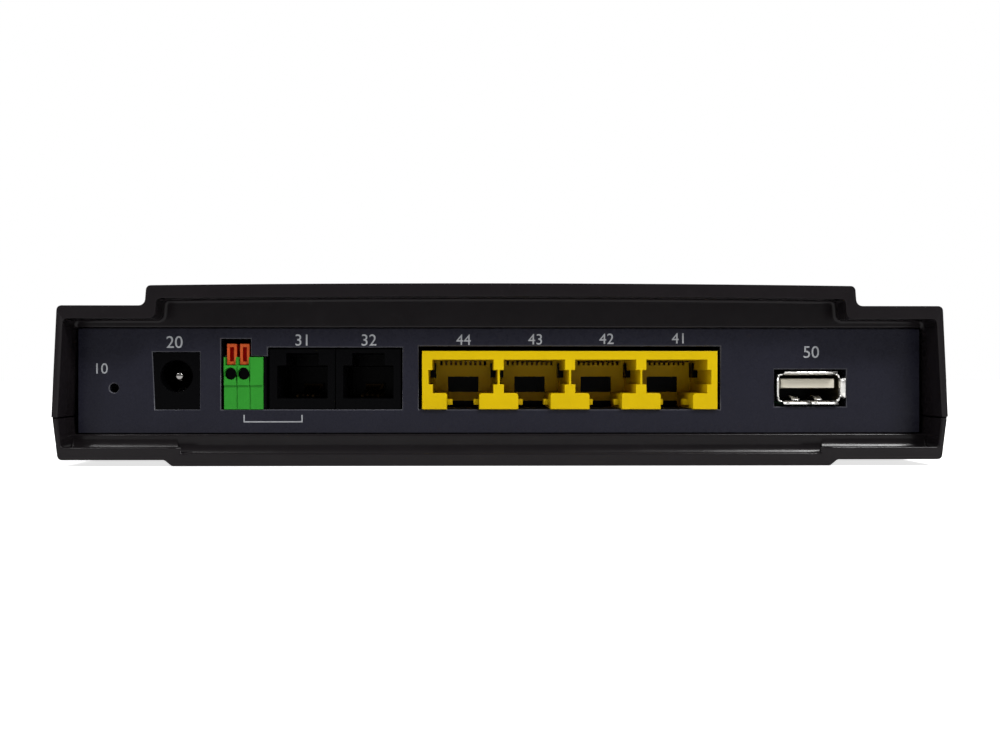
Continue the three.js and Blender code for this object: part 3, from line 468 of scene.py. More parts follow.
def gutter_drop(depth):
    """How far the rim's floor is lowered, that far behind the rim's edge."""
    if depth < GUTTER_END - NEAR:
        return 0
    reach = max(depth - LIP_DEPTH + GUTTER_COVE, 0)
    return GUTTER_BOTTOM - GUTTER_COVE + math.sqrt(max(GUTTER_COVE ** 2 - reach ** 2, 0))


def rim_floor(bm):
    """Faces of the rim's floor, in front of the recess wall."""
    return [f for f in bm.faces if f.normal.z > 0.5 and f.calc_center_median().z < SILL - 1
            and all(rear - NEAR < v.co.y < recess_wall + NEAR for v in f.verts)]


def cut_floor(bm, place, normal):
    """Adds a row of vertices where a plane cuts the rim's floor."""
    faces = rim_floor(bm)
    edges = {e for f in faces for e in f.edges}
    verts = {v for f in faces for v in f.verts}
    bmesh.ops.bisect_plane(bm, geom=[*faces, *edges, *verts], dist=WELD,
                           plane_co=place, plane_no=normal)


def cut_gutter(bm):
    """Sinks a gutter in the rim's floor, with a cove that runs up to the recess wall."""
    bmesh.ops.dissolve_limit(bm, angle_limit=FLAT, verts=bm.verts, edges=bm.edges)
    angles = [math.pi / 2 * step / COVE_STEPS for step in range(COVE_STEPS)]
    rows = [LIP_DEPTH - GUTTER_COVE + GUTTER_COVE * math.sin(angle) for angle in angles]
    for depth in (GUTTER_START, GUTTER_END, *rows):
        cut_floor(bm, (0, rear + depth, 0), (0, 1, 0))
    for out in SHELF_ENDS:
        for side in (-1, 1):
            cut_floor(bm, (side * out, 0, 0), (1, 0, 0))
    for vert in {v for f in rim_floor(bm) for v in f.verts}:
        vert.co.z -= gutter_drop(vert.co.y - rear)
    bm.normal_update()


def bottom_base():
    bm = node_mesh("bottom_base")
    sharpen_rim(bm)
    cut_gutter(bm)
    round_rim(bm)
    round_edges(bm, JOINT_ROUND, 2, lambda e: lies_at(e, "z", joint) and near_outside(e))
    round_edges(bm, SLOT_ROUND, 2, lambda e: lies_at(e, "z", base_low.z))
    new_piece("base_shell", bm, "shell_plastic", node="bottom_base")


# The joint's tongue: a thin wall on the base that closes the gap from inside. It is darker than the
# shell, so that the seam shows as a dark line: painted shade
TONGUE_INSET = 0.02
TONGUE_THICK = 0.6
TONGUE_RISE = 0.03
FRONT_RADIUS = 10
CORNER_STEPS = 12


def plan_path(inset):
    """Points along the housing's outside, that far inside it, from rim to rim."""
    half = base_high.x - inset
    radius = FRONT_RADIUS - inset
    front = base_high.y - inset
    path = [(half, rear + inset)]
    for step in range(2 * CORNER_STEPS + 1):
        side = 1 if step <= CORNER_STEPS else -1
        angle = math.pi / 2 * min(step, 2 * CORNER_STEPS - step) / CORNER_STEPS
        path.append((side * (half - radius + radius * math.cos(angle)),
                     front - radius + radius * math.sin(angle)))
    path.append((-half, rear + inset))
    return path


def joint_tongue():
    """The tongue, a closed strip of four-sided sections along the housing's outside."""
    bm = bmesh.new()
    outer = plan_path(TONGUE_INSET)
    inner = plan_path(TONGUE_INSET + TONGUE_THICK)
    rows = []
    for (x0, y0), (x1, y1) in zip(outer, inner):
        low, high = joint - TONGUE_RISE, joint + JOINT_GAP + TONGUE_RISE
        section = ((x0, y0, low), (x0, y0, high), (x1, y1, high), (x1, y1, low))
        rows.append([bm.verts.new(place) for place in section])
    for first, second in zip(rows, rows[1:]):
        for i in range(len(first)):
            bm.faces.new((first[i], second[i], second[i - 1], first[i - 1]))
    bm.faces.new(rows[0])
    bm.faces.new(rows[-1][::-1])
    bmesh.ops.recalc_face_normals(bm, faces=bm.faces)
    new_piece("joint_tongue", bm, "black_moulding")


CUT_ROUND = 0.3
CUT_MARGIN = 2              # the cut-outs lie at least this far inside the panel's edges
PINHOLE_REACH = 1           # what lies this near the pinhole's axis belongs to it
PINHOLE_GROWTH = 1.1
POWER_REACH = 0.6           # the corner of the power cut-out lies this near its socket's corner
POWER_LEAN = 0.5            # of the power cut-out's edge towards -X, at its foot
reset_low, reset_high = corners("reset_plunger")
power_low = corners("power_jack_body")[0]


def rear_panel():
    """The port panel: rounded cut-outs, one of them leaning, and a slightly wider pinhole."""
    bm = node_mesh("rear_panel")
    hole = (reset_low + reset_high) / 2
    for vert in bm.verts:
        offset = Vector((vert.co.x - hole.x, 0, vert.co.z - hole.z))
        if offset.length < PINHOLE_REACH:
            vert.co += offset * (PINHOLE_GROWTH - 1)
        if max(abs(vert.co.x - power_low.x), abs(vert.co.z - power_low.z)) < POWER_REACH:
            vert.co.x += POWER_LEAN
    low, high = panel_low.z + CUT_MARGIN, panel_high.z - CUT_MARGIN
    round_edges(bm, CUT_ROUND, 3, lambda e: lies_at(e, "y", panel_low.y)
                and abs(edge_middle(e).x) < panel_high.x - CUT_MARGIN
                and low < edge_middle(e).z < high, clamp=False)
    new_piece("port_panel", bm, "panel_plastic", node="rear_panel")


top_cover()
bottom_base()
joint_tongue()
rear_panel()

# ---------------------------------------------------------------- print on the panel
INK = 0.02                  # the print stands this far out of the face, and as far into it


def numerals(name, text, height, middle, base, face=panel_low.y, outward=-1):
    """Plain numerals of that height on an upright face that looks outward along Y, foot at base."""
    font = bpy.data.curves.new(name, "FONT")
    font.body = text
    font.extrude = 0.1
    drawn = bpy.data.objects.new(name + "_drawn", font)
    mesh = bpy.data.meshes.new_from_object(drawn)
    bpy.data.objects.remove(drawn)
    bpy.data.curves.remove(font)
    bm = bmesh.new()
    bm.from_mesh(mesh)
    bpy.data.meshes.remove(mesh)
    top = max(v.co.y for v in bm.verts)
    left = min(v.co.x for v in bm.verts)
    right = max(v.co.x for v in bm.verts)
    scale = height / top
    for vert in bm.verts:
        along = (vert.co.x - (left + right) / 2) * scale
        raised = INK if vert.co.z > 0 else -INK
        vert.co = (middle - outward * along, face + outward * raised, base + vert.co.y * scale)
    bmesh.ops.remove_doubles(bm, verts=bm.verts, dist=WELD)
    bmesh.ops.recalc_face_normals(bm, faces=bm.faces)
    new_piece(name, bm, "print_ink")


MARKS = (                   # name, numerals, height, middle and foot
    ("mark_reset", "10", 2.0, -77.86, 17.5),
    ("mark_power", "20", 2.3, -63.78, 22.5),
    ("mark_line", "31", 2.2, -39.07, 22.96),
    ("mark_phone", "32", 2.2, -25.89, 22.96),
    ("mark_usb", "50", 2.3, 61.05, 20.6),
)
PORTS = 4
PORT_MARK = 2.05            # height of the numerals over the network sockets
MARK_PITCH = 14.03          # they stand this far apart
MARK_RISE = 0.1             # and each this much higher than the one before
for mark in MARKS:
    numerals(*mark)
for port in range(PORTS):
    number = PORTS - port
    numerals(f"mark_port_{number}", f"4{number}", PORT_MARK, -7.4 + MARK_PITCH * port,
             23.1 + MARK_RISE * port)


def bracket():
    """The thin line that joins the terminal block to the jack beside it."""
    left, right, top, bottom, width = -50.35, -38.85, 9.4, 7.95, 0.22
    outline = [(left, top), (left, bottom), (right, bottom), (right, top),
               (right - width, top), (right - width, bottom + width),
               (left + width, bottom + width), (left + width, top)]
    bm = bmesh.new()
    faces = [(0, 1, 6, 7), (1, 2, 5, 6), (2, 3, 4, 5)]
    front = [bm.verts.new((x, panel_low.y - INK, z)) for x, z in outline]
    back = [bm.verts.new((x, panel_low.y + INK, z)) for x, z in outline]
    for face in faces:
        bm.faces.new([front[i] for i in face])
        bm.faces.new([back[i] for i in reversed(face)])
    bridge(bm, back, front)
    bmesh.ops.recalc_face_normals(bm, faces=bm.faces)
    new_piece("mark_bracket", bm, "print_ink")


bracket()

# ---------------------------------------------------------------- universal serial socket
SHEET = 0.25                # its thickness
TUBE_CORNER = 0.7
FLARE = 0.48                # of the upper and lower lips
SIDE_FLARE = 0.65
SIDE_GAP = 0.16             # from the tips of the side lips to the box of the CAD shell
TUBE_OFFSET = -0.04
LIP_LENGTH = 1.1
# A dark sheet of painted shade lines the tube between these
SHADE_SHEET_START = 0.25         # behind the tube's mouth
SHADE_SHEET_END = 0.1            # before the tube's back
SHADE_SHEET_GAP = 0.02           # between the metal sheet and the sheet of painted shade
STRIP_ROUND = 0.06
QUARTER_STEPS = 4           # in each corner of the tube and along each of its lips
usb_low, usb_high = corners("usb_shell")
usb_middle = (usb_low + usb_high) / 2
tube_half = usb_high.x - usb_middle.x - SIDE_FLARE - SIDE_GAP
tube_rise = usb_high.z - usb_middle.z - FLARE
tube_mouth = usb_low.y + LIP_LENGTH
LIP_PROFILE = ((0.1, 0.03), (0.2, 0.12), (1, 1))   # shares of its length and flare


def tube_ring(inset=0):
    """Points of the tube's section, each with the way out of the lip it carries, or None."""
    half, rise, corner = tube_half - inset, tube_rise - inset, TUBE_CORNER - inset
    lips = [  # middle of the side, direction along it, direction out, stretches with a lip
        ((0, -rise), (1, 0), (0, -1), ((-5.4, -0.15), (0.15, 5.4))),
        ((half, 0), (0, 1), (1, 0), ((-1.95, 1.95),)),
        ((0, rise), (-1, 0), (0, 1), ((-5.2, 5.2),)),
        ((-half, 0), (0, -1), (-1, 0), ((-1.95, 1.95),)),
    ]
    ring = []
    for middle, along, out, stretches in lips:
        for start, end in stretches:
            for step in range(QUARTER_STEPS + 1):
                place = start + (end - start) * step / QUARTER_STEPS
                carries = out if step < QUARTER_STEPS else None
                ring.append((middle[0] + along[0] * place, middle[1] + along[1] * place, carries))
        reach = (half if along[0] else rise) - corner
        centre = (middle[0] + along[0] * reach - out[0] * corner,
                  middle[1] + along[1] * reach - out[1] * corner)
        for step in range(QUARTER_STEPS + 1):
            angle = math.pi / 2 * step / QUARTER_STEPS
            x, z = (c + corner * (math.cos(angle) * o + math.sin(angle) * a)
                    for c, o, a in zip(centre, out, along))
            ring.append((x, z, None))
    return ring


def tube_vert(bm, x, z, y):
    """A vertex at that place of the tube's section."""
    return bm.verts.new((usb_middle.x + TUBE_OFFSET + x, y, usb_middle.z + z))


def usb_shell():
    """Folded sheet: a tube with four flared lips, notched corners and a seam underneath."""
    bm = bmesh.new()
    ring = tube_ring()
    mouth = [tube_vert(bm, x, z, tube_mouth) for x, z, _ in ring]
    back = [tube_vert(bm, x, z, usb_high.y) for x, z, _ in ring]
    bridge(bm, mouth, back)
    for i, (x, z, out) in enumerate(ring):
        if out is None:
            continue
        after = (i + 1) % len(ring)
        pair = [mouth[i], mouth[after]]
        ends = [(x, z), ring[after][:2]]
        for along, outward in LIP_PROFILE:
            flare = (FLARE if out[1] else SIDE_FLARE) * outward
            depth = LIP_LENGTH * along
            row = [tube_vert(bm, ex + out[0] * flare, ez + out[1] * flare, tube_mouth - depth)
                   for ex, ez in ends]
            bm.faces.new((pair[0], row[0], row[1], pair[1]))
            pair = row
    bmesh.ops.remove_doubles(bm, verts=bm.verts, dist=WELD)
    bmesh.ops.recalc_face_normals(bm, faces=bm.faces)
    piece = new_piece("usb_sheet", bm, "nickel_plate", node="usb_shell")
    solid = piece.modifiers.new("sheet", "SOLIDIFY")
    solid.thickness = SHEET * MM
    solid.offset = -1
    solid.use_even_offset = True


def usb_shade_sheet():
    """A dark sheet inside the tube, from just behind its mouth: painted shade."""
    bm = bmesh.new()
    front, back = ([tube_vert(bm, x, z, y) for x, z, _ in tube_ring(SHEET + SHADE_SHEET_GAP)]
                   for y in (tube_mouth + SHADE_SHEET_START, usb_high.y - SHADE_SHEET_END))
    bridge(bm, back, front)
    bmesh.ops.remove_doubles(bm, verts=bm.verts, dist=WELD)
    new_piece("usb_shade_sheet", bm, "tube_shade")


def turned(name, x, z, profile, slot, node=None, body="housing"):
    """A turned piece about an axis along Y, from its profile of (y, radius)."""
    steps = 24
    angles = [2 * math.pi * i / steps for i in range(steps)]
    bm = bmesh.new()
    rows = []
    for y, radius in profile:
        rows.append([bm.verts.new((x + radius * math.cos(angle), y, z + radius * math.sin(angle)))
                     for angle in angles])
    for first, second in zip(rows, rows[1:]):
        bridge(bm, first, second)
    bm.faces.new(rows[0])
    bm.faces.new(rows[-1])
    bmesh.ops.remove_doubles(bm, verts=bm.verts, dist=WELD)
    bmesh.ops.recalc_face_normals(bm, faces=bm.faces)
    return new_piece(name, bm, slot, body, node)


def bent_strip(name, path, width, thickness, middle, slot):
    """A strip across X that follows a path of (y, z)."""
    bm = bmesh.new()
    rows = []
    for y, z in path:
        rows.append([bm.verts.new((middle + side * width / 2, y, z)) for side in (-1, 1)])
    for first, second in zip(rows, rows[1:]):
        bm.faces.new((first[0], first[1], second[1], second[0]))
    piece = new_piece(name, bm, slot)
    solid = piece.modifiers.new("sheet", "SOLIDIFY")
    solid.thickness = thickness * MM
    solid.offset = 0
    bevel = piece.modifiers.new("soft_edges", "BEVEL")
    bevel.width = STRIP_ROUND * MM
    bevel.segments = 2


def usb_springs():
    """The two springs that press up on a plug."""
    floor_z = usb_middle.z - tube_rise + SHEET
    path = [(0.6, 0.1), (1.2, 0.5), (1.7, 0.78), (2.3, 0.85), (3.2, 0.72), (4.6, 0.4), (6.5, 0.05)]
    for number, side in enumerate((-2.3, 2.3), 1):
        spring = [(usb_low.y + 1.6 + y, floor_z + z) for y, z in path]
        bent_strip(f"usb_spring_{number}", spring, 1.5, 0.25, usb_middle.x + side, "nickel_plate")


tongue_low = corners("usb_tongue")[0]
TONGUE_UNDER = 14.65        # its under and upper sides
TONGUE_TOP = 16.55
TONGUE_ROOT = -48.0         # it starts here, along Y
TONGUE_SHARE = 0.955        # of the CAD tongue's width
TONGUE_OFFSET = 0.15
FACE_ROUND = 0.12           # on the edges of a socket's front


def usb_tongue():
    """The tongue, with the slope along its upper front edge that guides the plug."""
    bm = node_mesh("usb_tongue")
    for vert in bm.verts:
        if vert.co.y < TONGUE_ROOT:
            vert.co.x = usb_middle.x + (vert.co.x - usb_middle.x) * TONGUE_SHARE - TONGUE_OFFSET
    round_edges(bm, 0.5, 2, lambda e: lies_at(e, "y", tongue_low.y) and lies_at(e, "z", TONGUE_TOP))
    round_edges(bm, FACE_ROUND, 2, lambda e: lies_at(e, "y", tongue_low.y))
    new_piece("usb_guide", bm, "cream_moulding", node="usb_tongue")
    path = [(1.4, -0.03), (2.0, -0.12), (4.0, -0.18), (6.0, -0.12), (9.0, -0.03)]
    strip = [(tongue_low.y + y, TONGUE_UNDER + z) for y, z in path]
    for number, side in enumerate((-3.5, -1.0, 1.0, 3.5), 1):
        bent_strip(f"usb_contact_{number}", strip, 1.0, 0.1, usb_middle.x + side, "gold_plate")


usb_shell()
usb_shade_sheet()
usb_springs()
usb_tongue()

# ---------------------------------------------------------------- other sockets
eth_low = corners("ethernet_housing")[0]
PORT_PITCH = 13.97
PORT_FIRST = eth_low.x + 8.0    # middle of the first socket
LATCH_HALF = 3.15           # half the width of a latch gap
PEG_START = 0.5
PEG_END = 3.0               # the pegs at the foot of the latch gap end before this depth
PEG_SHIFT = 2.2             # and stand this much further in
PORT_FLOOR = eth_low.z + 3.13
NOTCH_END = 6.25            # depth of the side notches as modelled
NOTCH_SHIFT = 3.5           # and how much deeper they go in the looks
BLOCK_ROUND = 0.45
MOUTH_HALF = 5.965          # half the width of a socket's mouth
WINDOW_HALF = 3.2           # the opening in a socket's back
WINDOW_LOW = 13.6
WINDOW_HIGH = 16.85
CARRIER_DEPTH = 12.35       # the contact carriers start this far in


def ethernet_housing():
    """The four sockets, with deeper notches, pegs further in and rounded shoulders."""
    bm = node_mesh("ethernet_housing")
    middles = [PORT_FIRST + PORT_PITCH * port for port in range(PORTS)]

    def is_shoulder(edge):
        middle = edge_middle(edge)
        along = abs(edge.verts[0].co.y - edge.verts[1].co.y) > 1
        beside = any(abs(abs(middle.x - x) - LATCH_HALF) < NEAR for x in middles)
        return along and beside and abs(middle.z - PORT_FLOOR) < NEAR

    for vert in bm.verts:
        in_gap = any(abs(vert.co.x - x) < LATCH_HALF + NEAR for x in middles)
        depth = vert.co.y - eth_low.y
        if in_gap and PEG_START < depth < PEG_END and vert.co.z < PORT_FLOOR - 1:
            vert.co.y += PEG_SHIFT
        elif abs(depth - NOTCH_END) < NEAR:
            vert.co.y += NOTCH_SHIFT
    round_edges(bm, BLOCK_ROUND, 3, is_shoulder, clamp=False)
    round_edges(bm, FACE_ROUND, 2, lambda e: lies_at(e, "y", eth_low.y))
    new_piece("port_block", bm, "yellow_moulding", node="ethernet_housing")


def slab(name, low, high, slot, softness=0.05):
    """A block between two corners, with softened edges."""
    bm = bmesh.new()
    bmesh.ops.create_cube(bm, size=1)
    for vert in bm.verts:
        vert.co = [l + (h - l) * (c + 0.5) for l, h, c in zip(low, high, vert.co)]
    bmesh.ops.bevel(bm, geom=bm.edges, offset=softness, segments=2, profile=0.5, affect="EDGES")
    new_piece(name, bm, slot)


def contact_carriers():
    """Black inserts that hold the contacts, seen through each socket's openings, a thin dark sheet
    on the floor of each latch gap, and black blocks deep in the side notches that are painted
    shade.
    """
    front = eth_low.y + CARRIER_DEPTH
    for port in range(PORTS):
        x = PORT_FIRST + PORT_PITCH * port
        number = PORTS - port
        slab(f"port_foot_{number}", (x - LATCH_HALF, front, eth_low.z + 0.1),
             (x + LATCH_HALF, front + 0.14, eth_low.z + 1.3), "black_moulding", 0.03)
        slab(f"port_sill_{number}", (x - LATCH_HALF + 0.05, eth_low.y + 0.6, eth_low.z + 0.01),
             (x + LATCH_HALF - 0.05, front, eth_low.z + 0.15), "black_moulding", 0.03)
        slab(f"port_back_{number}", (x - WINDOW_HALF, front + 0.45, WINDOW_LOW),
             (x + WINDOW_HALF, front + 0.9, WINDOW_HIGH), "black_moulding", 0.03)
        for side in (-1, 1):
            wall = x + side * MOUTH_HALF
            inner, outer = sorted((wall - side * 0.3, wall + side * 0.76))
            # Painted shade: black blocks deep in the side notches
            slab(f"port_notch_shade_{number}_{'lr'[side > 0]}", (inner, eth_low.y + 9.6, 16.65),
                 (outer, eth_low.y + 12.3, 19.65), "black_moulding", 0.02)


term_low, term_high = corners("terminal_block")
WIRE_LEVEL = 17.5           # height of the wire holes' axes
STEP_NEAR = 0.5             # the lower face lies between these distances behind the upper one
STEP_FAR = 1
STEP_TOP = 15.3             # and ends below this height
STEP_CUT = 0.45             # it stands this much nearer in the looks
HOLE_REACH = 1.15           # what lies this near a wire hole's axis belongs to it
HOLE_GROWTH = 1.14
HOLE_SHADE_RADIUS = 1.18          # of the black discs of painted shade deep in the wire holes
HOLE_SHADE_DEPTH = 0.9


def terminal_parts():
    """The terminal block, its step shallower and its wire holes wider, with black pieces of painted
    shade in its wire holes and beside it.
    """
    bm = node_mesh("terminal_block")
    for vert in bm.verts:
        behind = term_low.y + STEP_NEAR < vert.co.y < term_low.y + STEP_FAR
        if behind and vert.co.z < STEP_TOP:
            vert.co.y -= STEP_CUT
        for number in (1, 2):
            low, high = corners(f"clamp_button_{number}")
            offset = vert.co - Vector(((low.x + high.x) / 2, vert.co.y, WIRE_LEVEL))
            if offset.length < HOLE_REACH:
                vert.co += offset * (HOLE_GROWTH - 1)
    round_edges(bm, 0.08, 2, lambda e: edge_middle(e).y < term_low.y + 1)
    new_piece("terminal_body", bm, "green_moulding", node="terminal_block")
    # Painted shade: a black sheet beside the block's side
    slab("terminal_side_shade", (term_high.x + 0.02, term_low.y + 0.5, term_low.z + 0.1),
         (term_high.x + 0.6, term_high.y, term_high.z - 0.1), "black_moulding")
    # Painted shade: a black disc deep in each wire hole
    for number in (1, 2):
        low, high = corners(f"clamp_button_{number}")
        depth = term_low.y + HOLE_SHADE_DEPTH
        turned(f"wire_hole_shade_{number}", (low.x + high.x) / 2, WIRE_LEVEL,
               [(depth, HOLE_SHADE_RADIUS), (depth + 0.3, HOLE_SHADE_RADIUS)], "black_moulding")


usb_root = usb_low.y + 9.6


def usb_back():
    """The black back of the universal serial socket, around the root of its tongue."""
    floor_z = usb_middle.z - tube_rise + SHEET
    roof_z = usb_middle.z + tube_rise - SHEET
    for name, bottom, top in (("usb_back_low", floor_z, TONGUE_UNDER - 0.1),
                              ("usb_back_high", TONGUE_TOP, roof_z)):
        slab(name, (usb_middle.x - tube_half + SHEET, usb_root, bottom),
             (usb_middle.x + tube_half - SHEET, usb_root + 0.3, top), "black_moulding")


pin_low, pin_high = corners("power_jack_pin")


def power_pin():
    """The jack's centre pin, turned with a domed tip."""
    radius = (pin_high.x - pin_low.x) / 2
    axis = (pin_low + pin_high) / 2
    tip = [(0.0, 0.0), (0.03, 0.3), (0.14, 0.6), (0.38, 0.84), (0.75, 0.97), (1.2, 1.0)]
    profile = [(pin_low.y + depth, radius * share) for depth, share in tip]
    pin = turned("jack_pin", axis.x, axis.z, [*profile, (pin_high.y, radius)], "nickel_plate",
                 node="power_jack_pin")
    put_finish(pin, "dull_pin")


def pinhole_shade():
    """A black cap on the reset plunger, painted shade so that the pinhole looks empty."""
    middle = (reset_low + reset_high) / 2
    y = reset_low.y
    profile = [(y - 0.12, 0.9), (y - 0.08, 1.05), (y - 0.005, 1.05)]
    turned("pinhole_shade", middle.x, middle.z, profile, "black_moulding", body="reset_button")


STRIP_MARGIN = 0.12         # of the carrying strip around its wires
STRIP_LENGTH = 1.1


def contact_wires(node, strip_front):
    """A jack's wires, cut off at the black strip that carries them, in gold darkened almost to
    black as painted shade.
    """
    bm = node_mesh(node)
    cut = (0, strip_front + 0.05, 0)
    bmesh.ops.bisect_plane(bm, geom=[*bm.verts, *bm.edges, *bm.faces], dist=WELD,
                           plane_co=cut, plane_no=(0, 1, 0), clear_outer=True)
    put_finish(new_piece(node + "_wires", bm, "gold_plate", node=node), "painted_shade_gold")
    low, high = corners(node)
    low.y = strip_front
    around = Vector((STRIP_MARGIN, 0, STRIP_MARGIN))
    slab(node + "_strip", low - around, high + around, "black_moulding")


ethernet_housing()
contact_carriers()
terminal_parts()
usb_back()
power_pin()
pinhole_shade()
for name in ("line_jack_contacts", "phone_jack_contacts"):
    contact_wires(name, corners(name)[1].y - STRIP_LENGTH)

# ---------------------------------------------------------------- indicator side and underside
LAMPS = 6
LAMP_MARK = 1.3             # height of the numerals under the lenses
LENS_RADIUS = 0.9
LENS_INSET = 1.9            # from the window's top to the lens's middle
LENS_FACE = ((-0.1, 1), (0.02, 1), (0.035, 0.85), (0.04, 0.5))    # depths, shares of the radius
window_low, window_high = corners("front_window")


def lens(number):
    """A small moulded lens in the window, in front of a lamp, and its number below."""
    low, high = corners(f"status_lamp_{number}")
    x = (low.x + high.x) / 2
    face = window_high.y
    profile = [(face + depth, share * LENS_RADIUS) for depth, share in LENS_FACE]
    turned(f"lens_{number}", x, window_high.z - LENS_INSET, profile, "cream_moulding")
    text = str(LAMPS + 1 - number)
    numerals(f"mark_lamp_{number}", text, LAMP_MARK, x, window_low.z + 1.0, face, 1)


for number in range(1, LAMPS + 1):
    lens(number)


def blank_label():
    """A blank label in the shallow recess underneath."""
    half_x, half_y, corner, under, above = 21.4, 30.4, 1.6, 0.28, 0.42
    bm = bmesh.new()
    outline = []
    for sx, sy in ((1, 1), (-1, 1), (-1, -1), (1, -1)):
        start = math.atan2(sy, sx) - math.pi / 4
        for step in range(5):
            angle = start + math.pi / 2 * step / 4
            outline.append((sx * (half_x - corner) + corner * math.cos(angle),
                            sy * (half_y - corner) + corner * math.sin(angle)))
    low, high = ([bm.verts.new((x, y, level)) for x, y in outline] for level in (under, above))
    bm.faces.new(low[::-1])
    bm.faces.new(high)
    bridge(bm, low, high)
    bmesh.ops.recalc_face_normals(bm, faces=bm.faces)
    new_piece("blank_label", bm, "blank_paper")


blank_label()

# ---------------------------------------------------------------- CAD nodes that stay
EDGE_ROUNDS = {
    "line_jack_body": 0.15,
    "phone_jack_body": 0.15,
    "power_jack_body": 0.15,
    "front_window": 0.15,
}
DEFAULT_ROUND = 0.08


def dress(node, slot):
    """Finish and softened edges for a CAD node that stays as it is."""
    piece = nodes[node]
    put_finish(piece, slot)
    weld = piece.modifiers.new("weld", "WELD")
    weld.merge_threshold = WELD * MM
    flat = piece.modifiers.new("flat_faces", "DECIMATE")
    flat.decimate_type = "DISSOLVE"
    flat.angle_limit = FLAT
    bevel = piece.modifiers.new("soft_edges", "BEVEL")
    bevel.width = EDGE_ROUNDS.get(node, DEFAULT_ROUND) * MM
    bevel.segments = 2
    bevel.limit_method = "ANGLE"
    bevel.angle_limit = SHARP
    bevel.harden_normals = True


for row in frame["record"]["subparts"]:
    if not nodes[row["node"]].hide_render:
        dress(row["node"], row["material_slot"])

# ---------------------------------------------------------------- stage
FLOOR_HALF = 2.0            # in metres
FLOOR_DROP = 0.1            # it lies this far below the foot
FLOOR_GLOW = 0.75           # its own light, to the camera
GLOW_IN_GLOSS = 0.38        # share of it that reflections show
AMBIENT = 0.45              # the world's light on the object
FRONT_SHARE = 0.3           # of the world's light that is left at the camera's side
FADE = (-0.8, 0.1)          # it fades between these, along Y of its direction


def reflected(tree, path):
    """1 for rays by which a gloss or a clear piece shows the background."""
    highest = tree.nodes.new("ShaderNodeMath")
    highest.operation = "MAXIMUM"
    tree.links.new(path.outputs["Is Glossy Ray"], highest.inputs[0])
    tree.links.new(path.outputs["Is Transmission Ray"], highest.inputs[1])
    return highest.outputs["Value"]


def combined(tree, operation, first, second):
    """Two values put through a math node."""
    node = tree.nodes.new("ShaderNodeMath")
    node.operation = operation
    tree.links.new(first, node.inputs[0])
    tree.links.new(second, node.inputs[1])
    return node.outputs["Value"]


def map_range(tree, value, start, end, low, high, smooth=False):
    """Maps start to end of a value onto low to high."""
    node = tree.nodes.new("ShaderNodeMapRange")
    node.interpolation_type = "SMOOTHSTEP" if smooth else "LINEAR"
    ends = {"From Min": start, "From Max": end, "To Min": low, "To Max": high}
    for name, number in ends.items():
        node.inputs[name].default_value = number
    tree.links.new(value, node.inputs["Value"])
    return node.outputs["Result"]


def floor():
    """A white floor that glows for the camera and still takes the object's shadow."""
    mesh = bpy.data.meshes.new("floor")
    drop = -FLOOR_DROP * MM
    ends = ((-1, -1), (1, -1), (1, 1), (-1, 1))
    mesh.from_pydata([(x * FLOOR_HALF, y * FLOOR_HALF, drop) for x, y in ends], [], [(0, 1, 2, 3)])
    piece = add_object("floor", mesh)
    material = bpy.data.materials.new("floor_white")
    material.use_nodes = True
    tree = material.node_tree
    tree.nodes.remove(tree.nodes["Principled BSDF"])
    diffuse = tree.nodes.new("ShaderNodeBsdfDiffuse")
    diffuse.inputs["Color"].default_value = (0.85, 0.85, 0.85, 1)
    path = tree.nodes.new("ShaderNodeLightPath")
    mirrored = map_range(tree, reflected(tree, path), 0, 1, 0, GLOW_IN_GLOSS)
    seen = combined(tree, "MAXIMUM", path.outputs["Is Camera Ray"], mirrored)
    glow = tree.nodes.new("ShaderNodeEmission")
    glow.inputs["Color"].default_value = (FLOOR_GLOW, FLOOR_GLOW, FLOOR_GLOW, 1)
    tree.links.new(seen, glow.inputs["Strength"])
    both = tree.nodes.new("ShaderNodeAddShader")
    tree.links.new(diffuse.outputs[0], both.inputs[0])
    tree.links.new(glow.outputs[0], both.inputs[1])
    tree.links.new(both.outputs[0], tree.nodes["Material Output"].inputs["Surface"])
    mesh.materials.append(material)


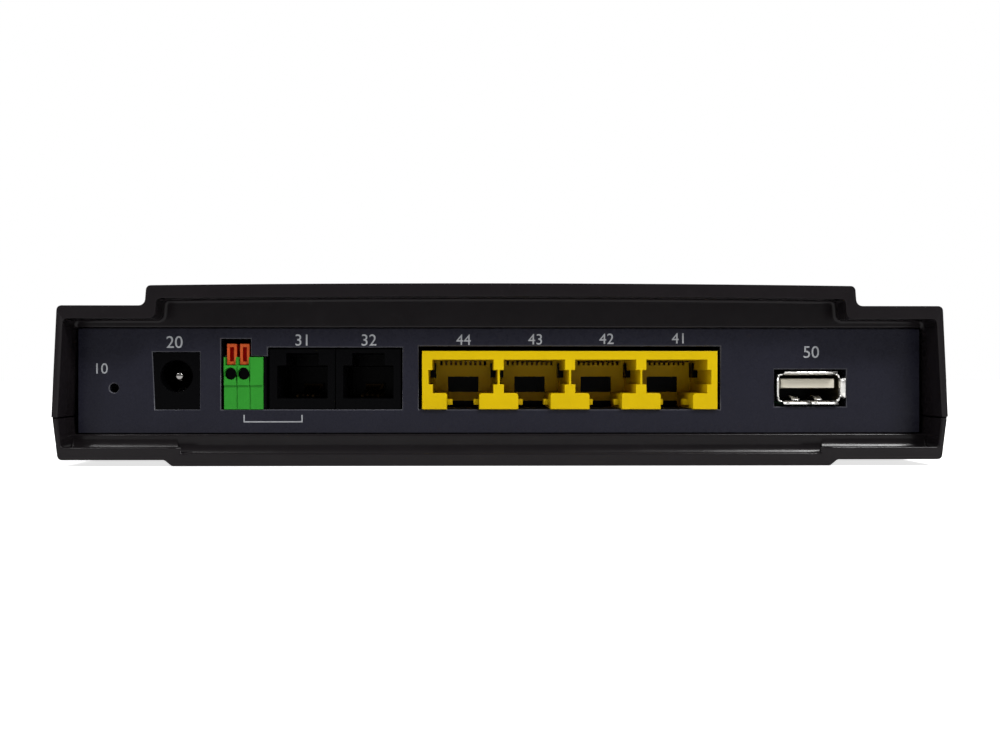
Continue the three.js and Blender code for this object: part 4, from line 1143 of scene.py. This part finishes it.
def world():
    """White to the camera, softer as light, and dim on the side where the camera stands."""
    made = bpy.data.worlds.new("studio")
    scene.world = made
    made.use_nodes = True
    tree = made.node_tree
    background = tree.nodes["Background"]
    background.inputs["Color"].default_value = (1, 1, 1, 1)
    path = tree.nodes.new("ShaderNodeLightPath")
    level = map_range(tree, reflected(tree, path), 0, 1, AMBIENT, 1)
    direction = tree.nodes.new("ShaderNodeSeparateXYZ")
    place = tree.nodes.new("ShaderNodeTexCoord")
    tree.links.new(place.outputs["Generated"], direction.inputs["Vector"])
    fade = map_range(tree, direction.outputs["Y"], *FADE, FRONT_SHARE, 1, smooth=True)
    light = combined(tree, "MULTIPLY", level, fade)
    strength = combined(tree, "MAXIMUM", light, path.outputs["Is Camera Ray"])
    tree.links.new(strength, background.inputs["Strength"])


def softbox(name, place, size, power):
    """A rectangular lamp that looks at the origin. Its place and size are in metres."""
    light = bpy.data.lights.new(name, "AREA")
    light.shape = "RECTANGLE"
    light.size, light.size_y = size
    light.energy = power
    piece = bpy.data.objects.new(name, light)
    scene.collection.objects.link(piece)
    piece.location = place
    piece.rotation_euler = (-Vector(place)).to_track_quat("-Z", "Y").to_euler()
    piece.visible_camera = False


FOCAL_LENGTH = 29.48
SENSOR_WIDTH = 36
SHIFT = 0.0236              # of the picture, in widths
CAMERA_PLACE = (-6.72, rear - 155.06, 17.21)
CAMERA_TURN = 0.0115        # towards +X, in radians


def camera():
    """The photograph's camera, level and close to the port side."""
    data = bpy.data.cameras.new("camera")
    data.lens = FOCAL_LENGTH
    data.sensor_width = SENSOR_WIDTH
    data.shift_x = SHIFT
    data.clip_start = 0.01
    piece = bpy.data.objects.new("camera", data)
    scene.collection.objects.link(piece)
    piece.location = Vector(CAMERA_PLACE) * MM
    piece.rotation_euler = (math.pi / 2, 0, -CAMERA_TURN)
    scene.camera = piece


floor()
world()
softbox("left_softbox", (-0.65, -0.62, 0.96), (0.13, 0.5), 4.4)
softbox("right_softbox", (0.6, -0.62, 0.96), (0.3, 0.26), 12.0)
softbox("top_softbox", (0, 0.1, 1.0), (1.0, 0.8), 2.0)
camera()
scene.view_settings.view_transform = "Standard"
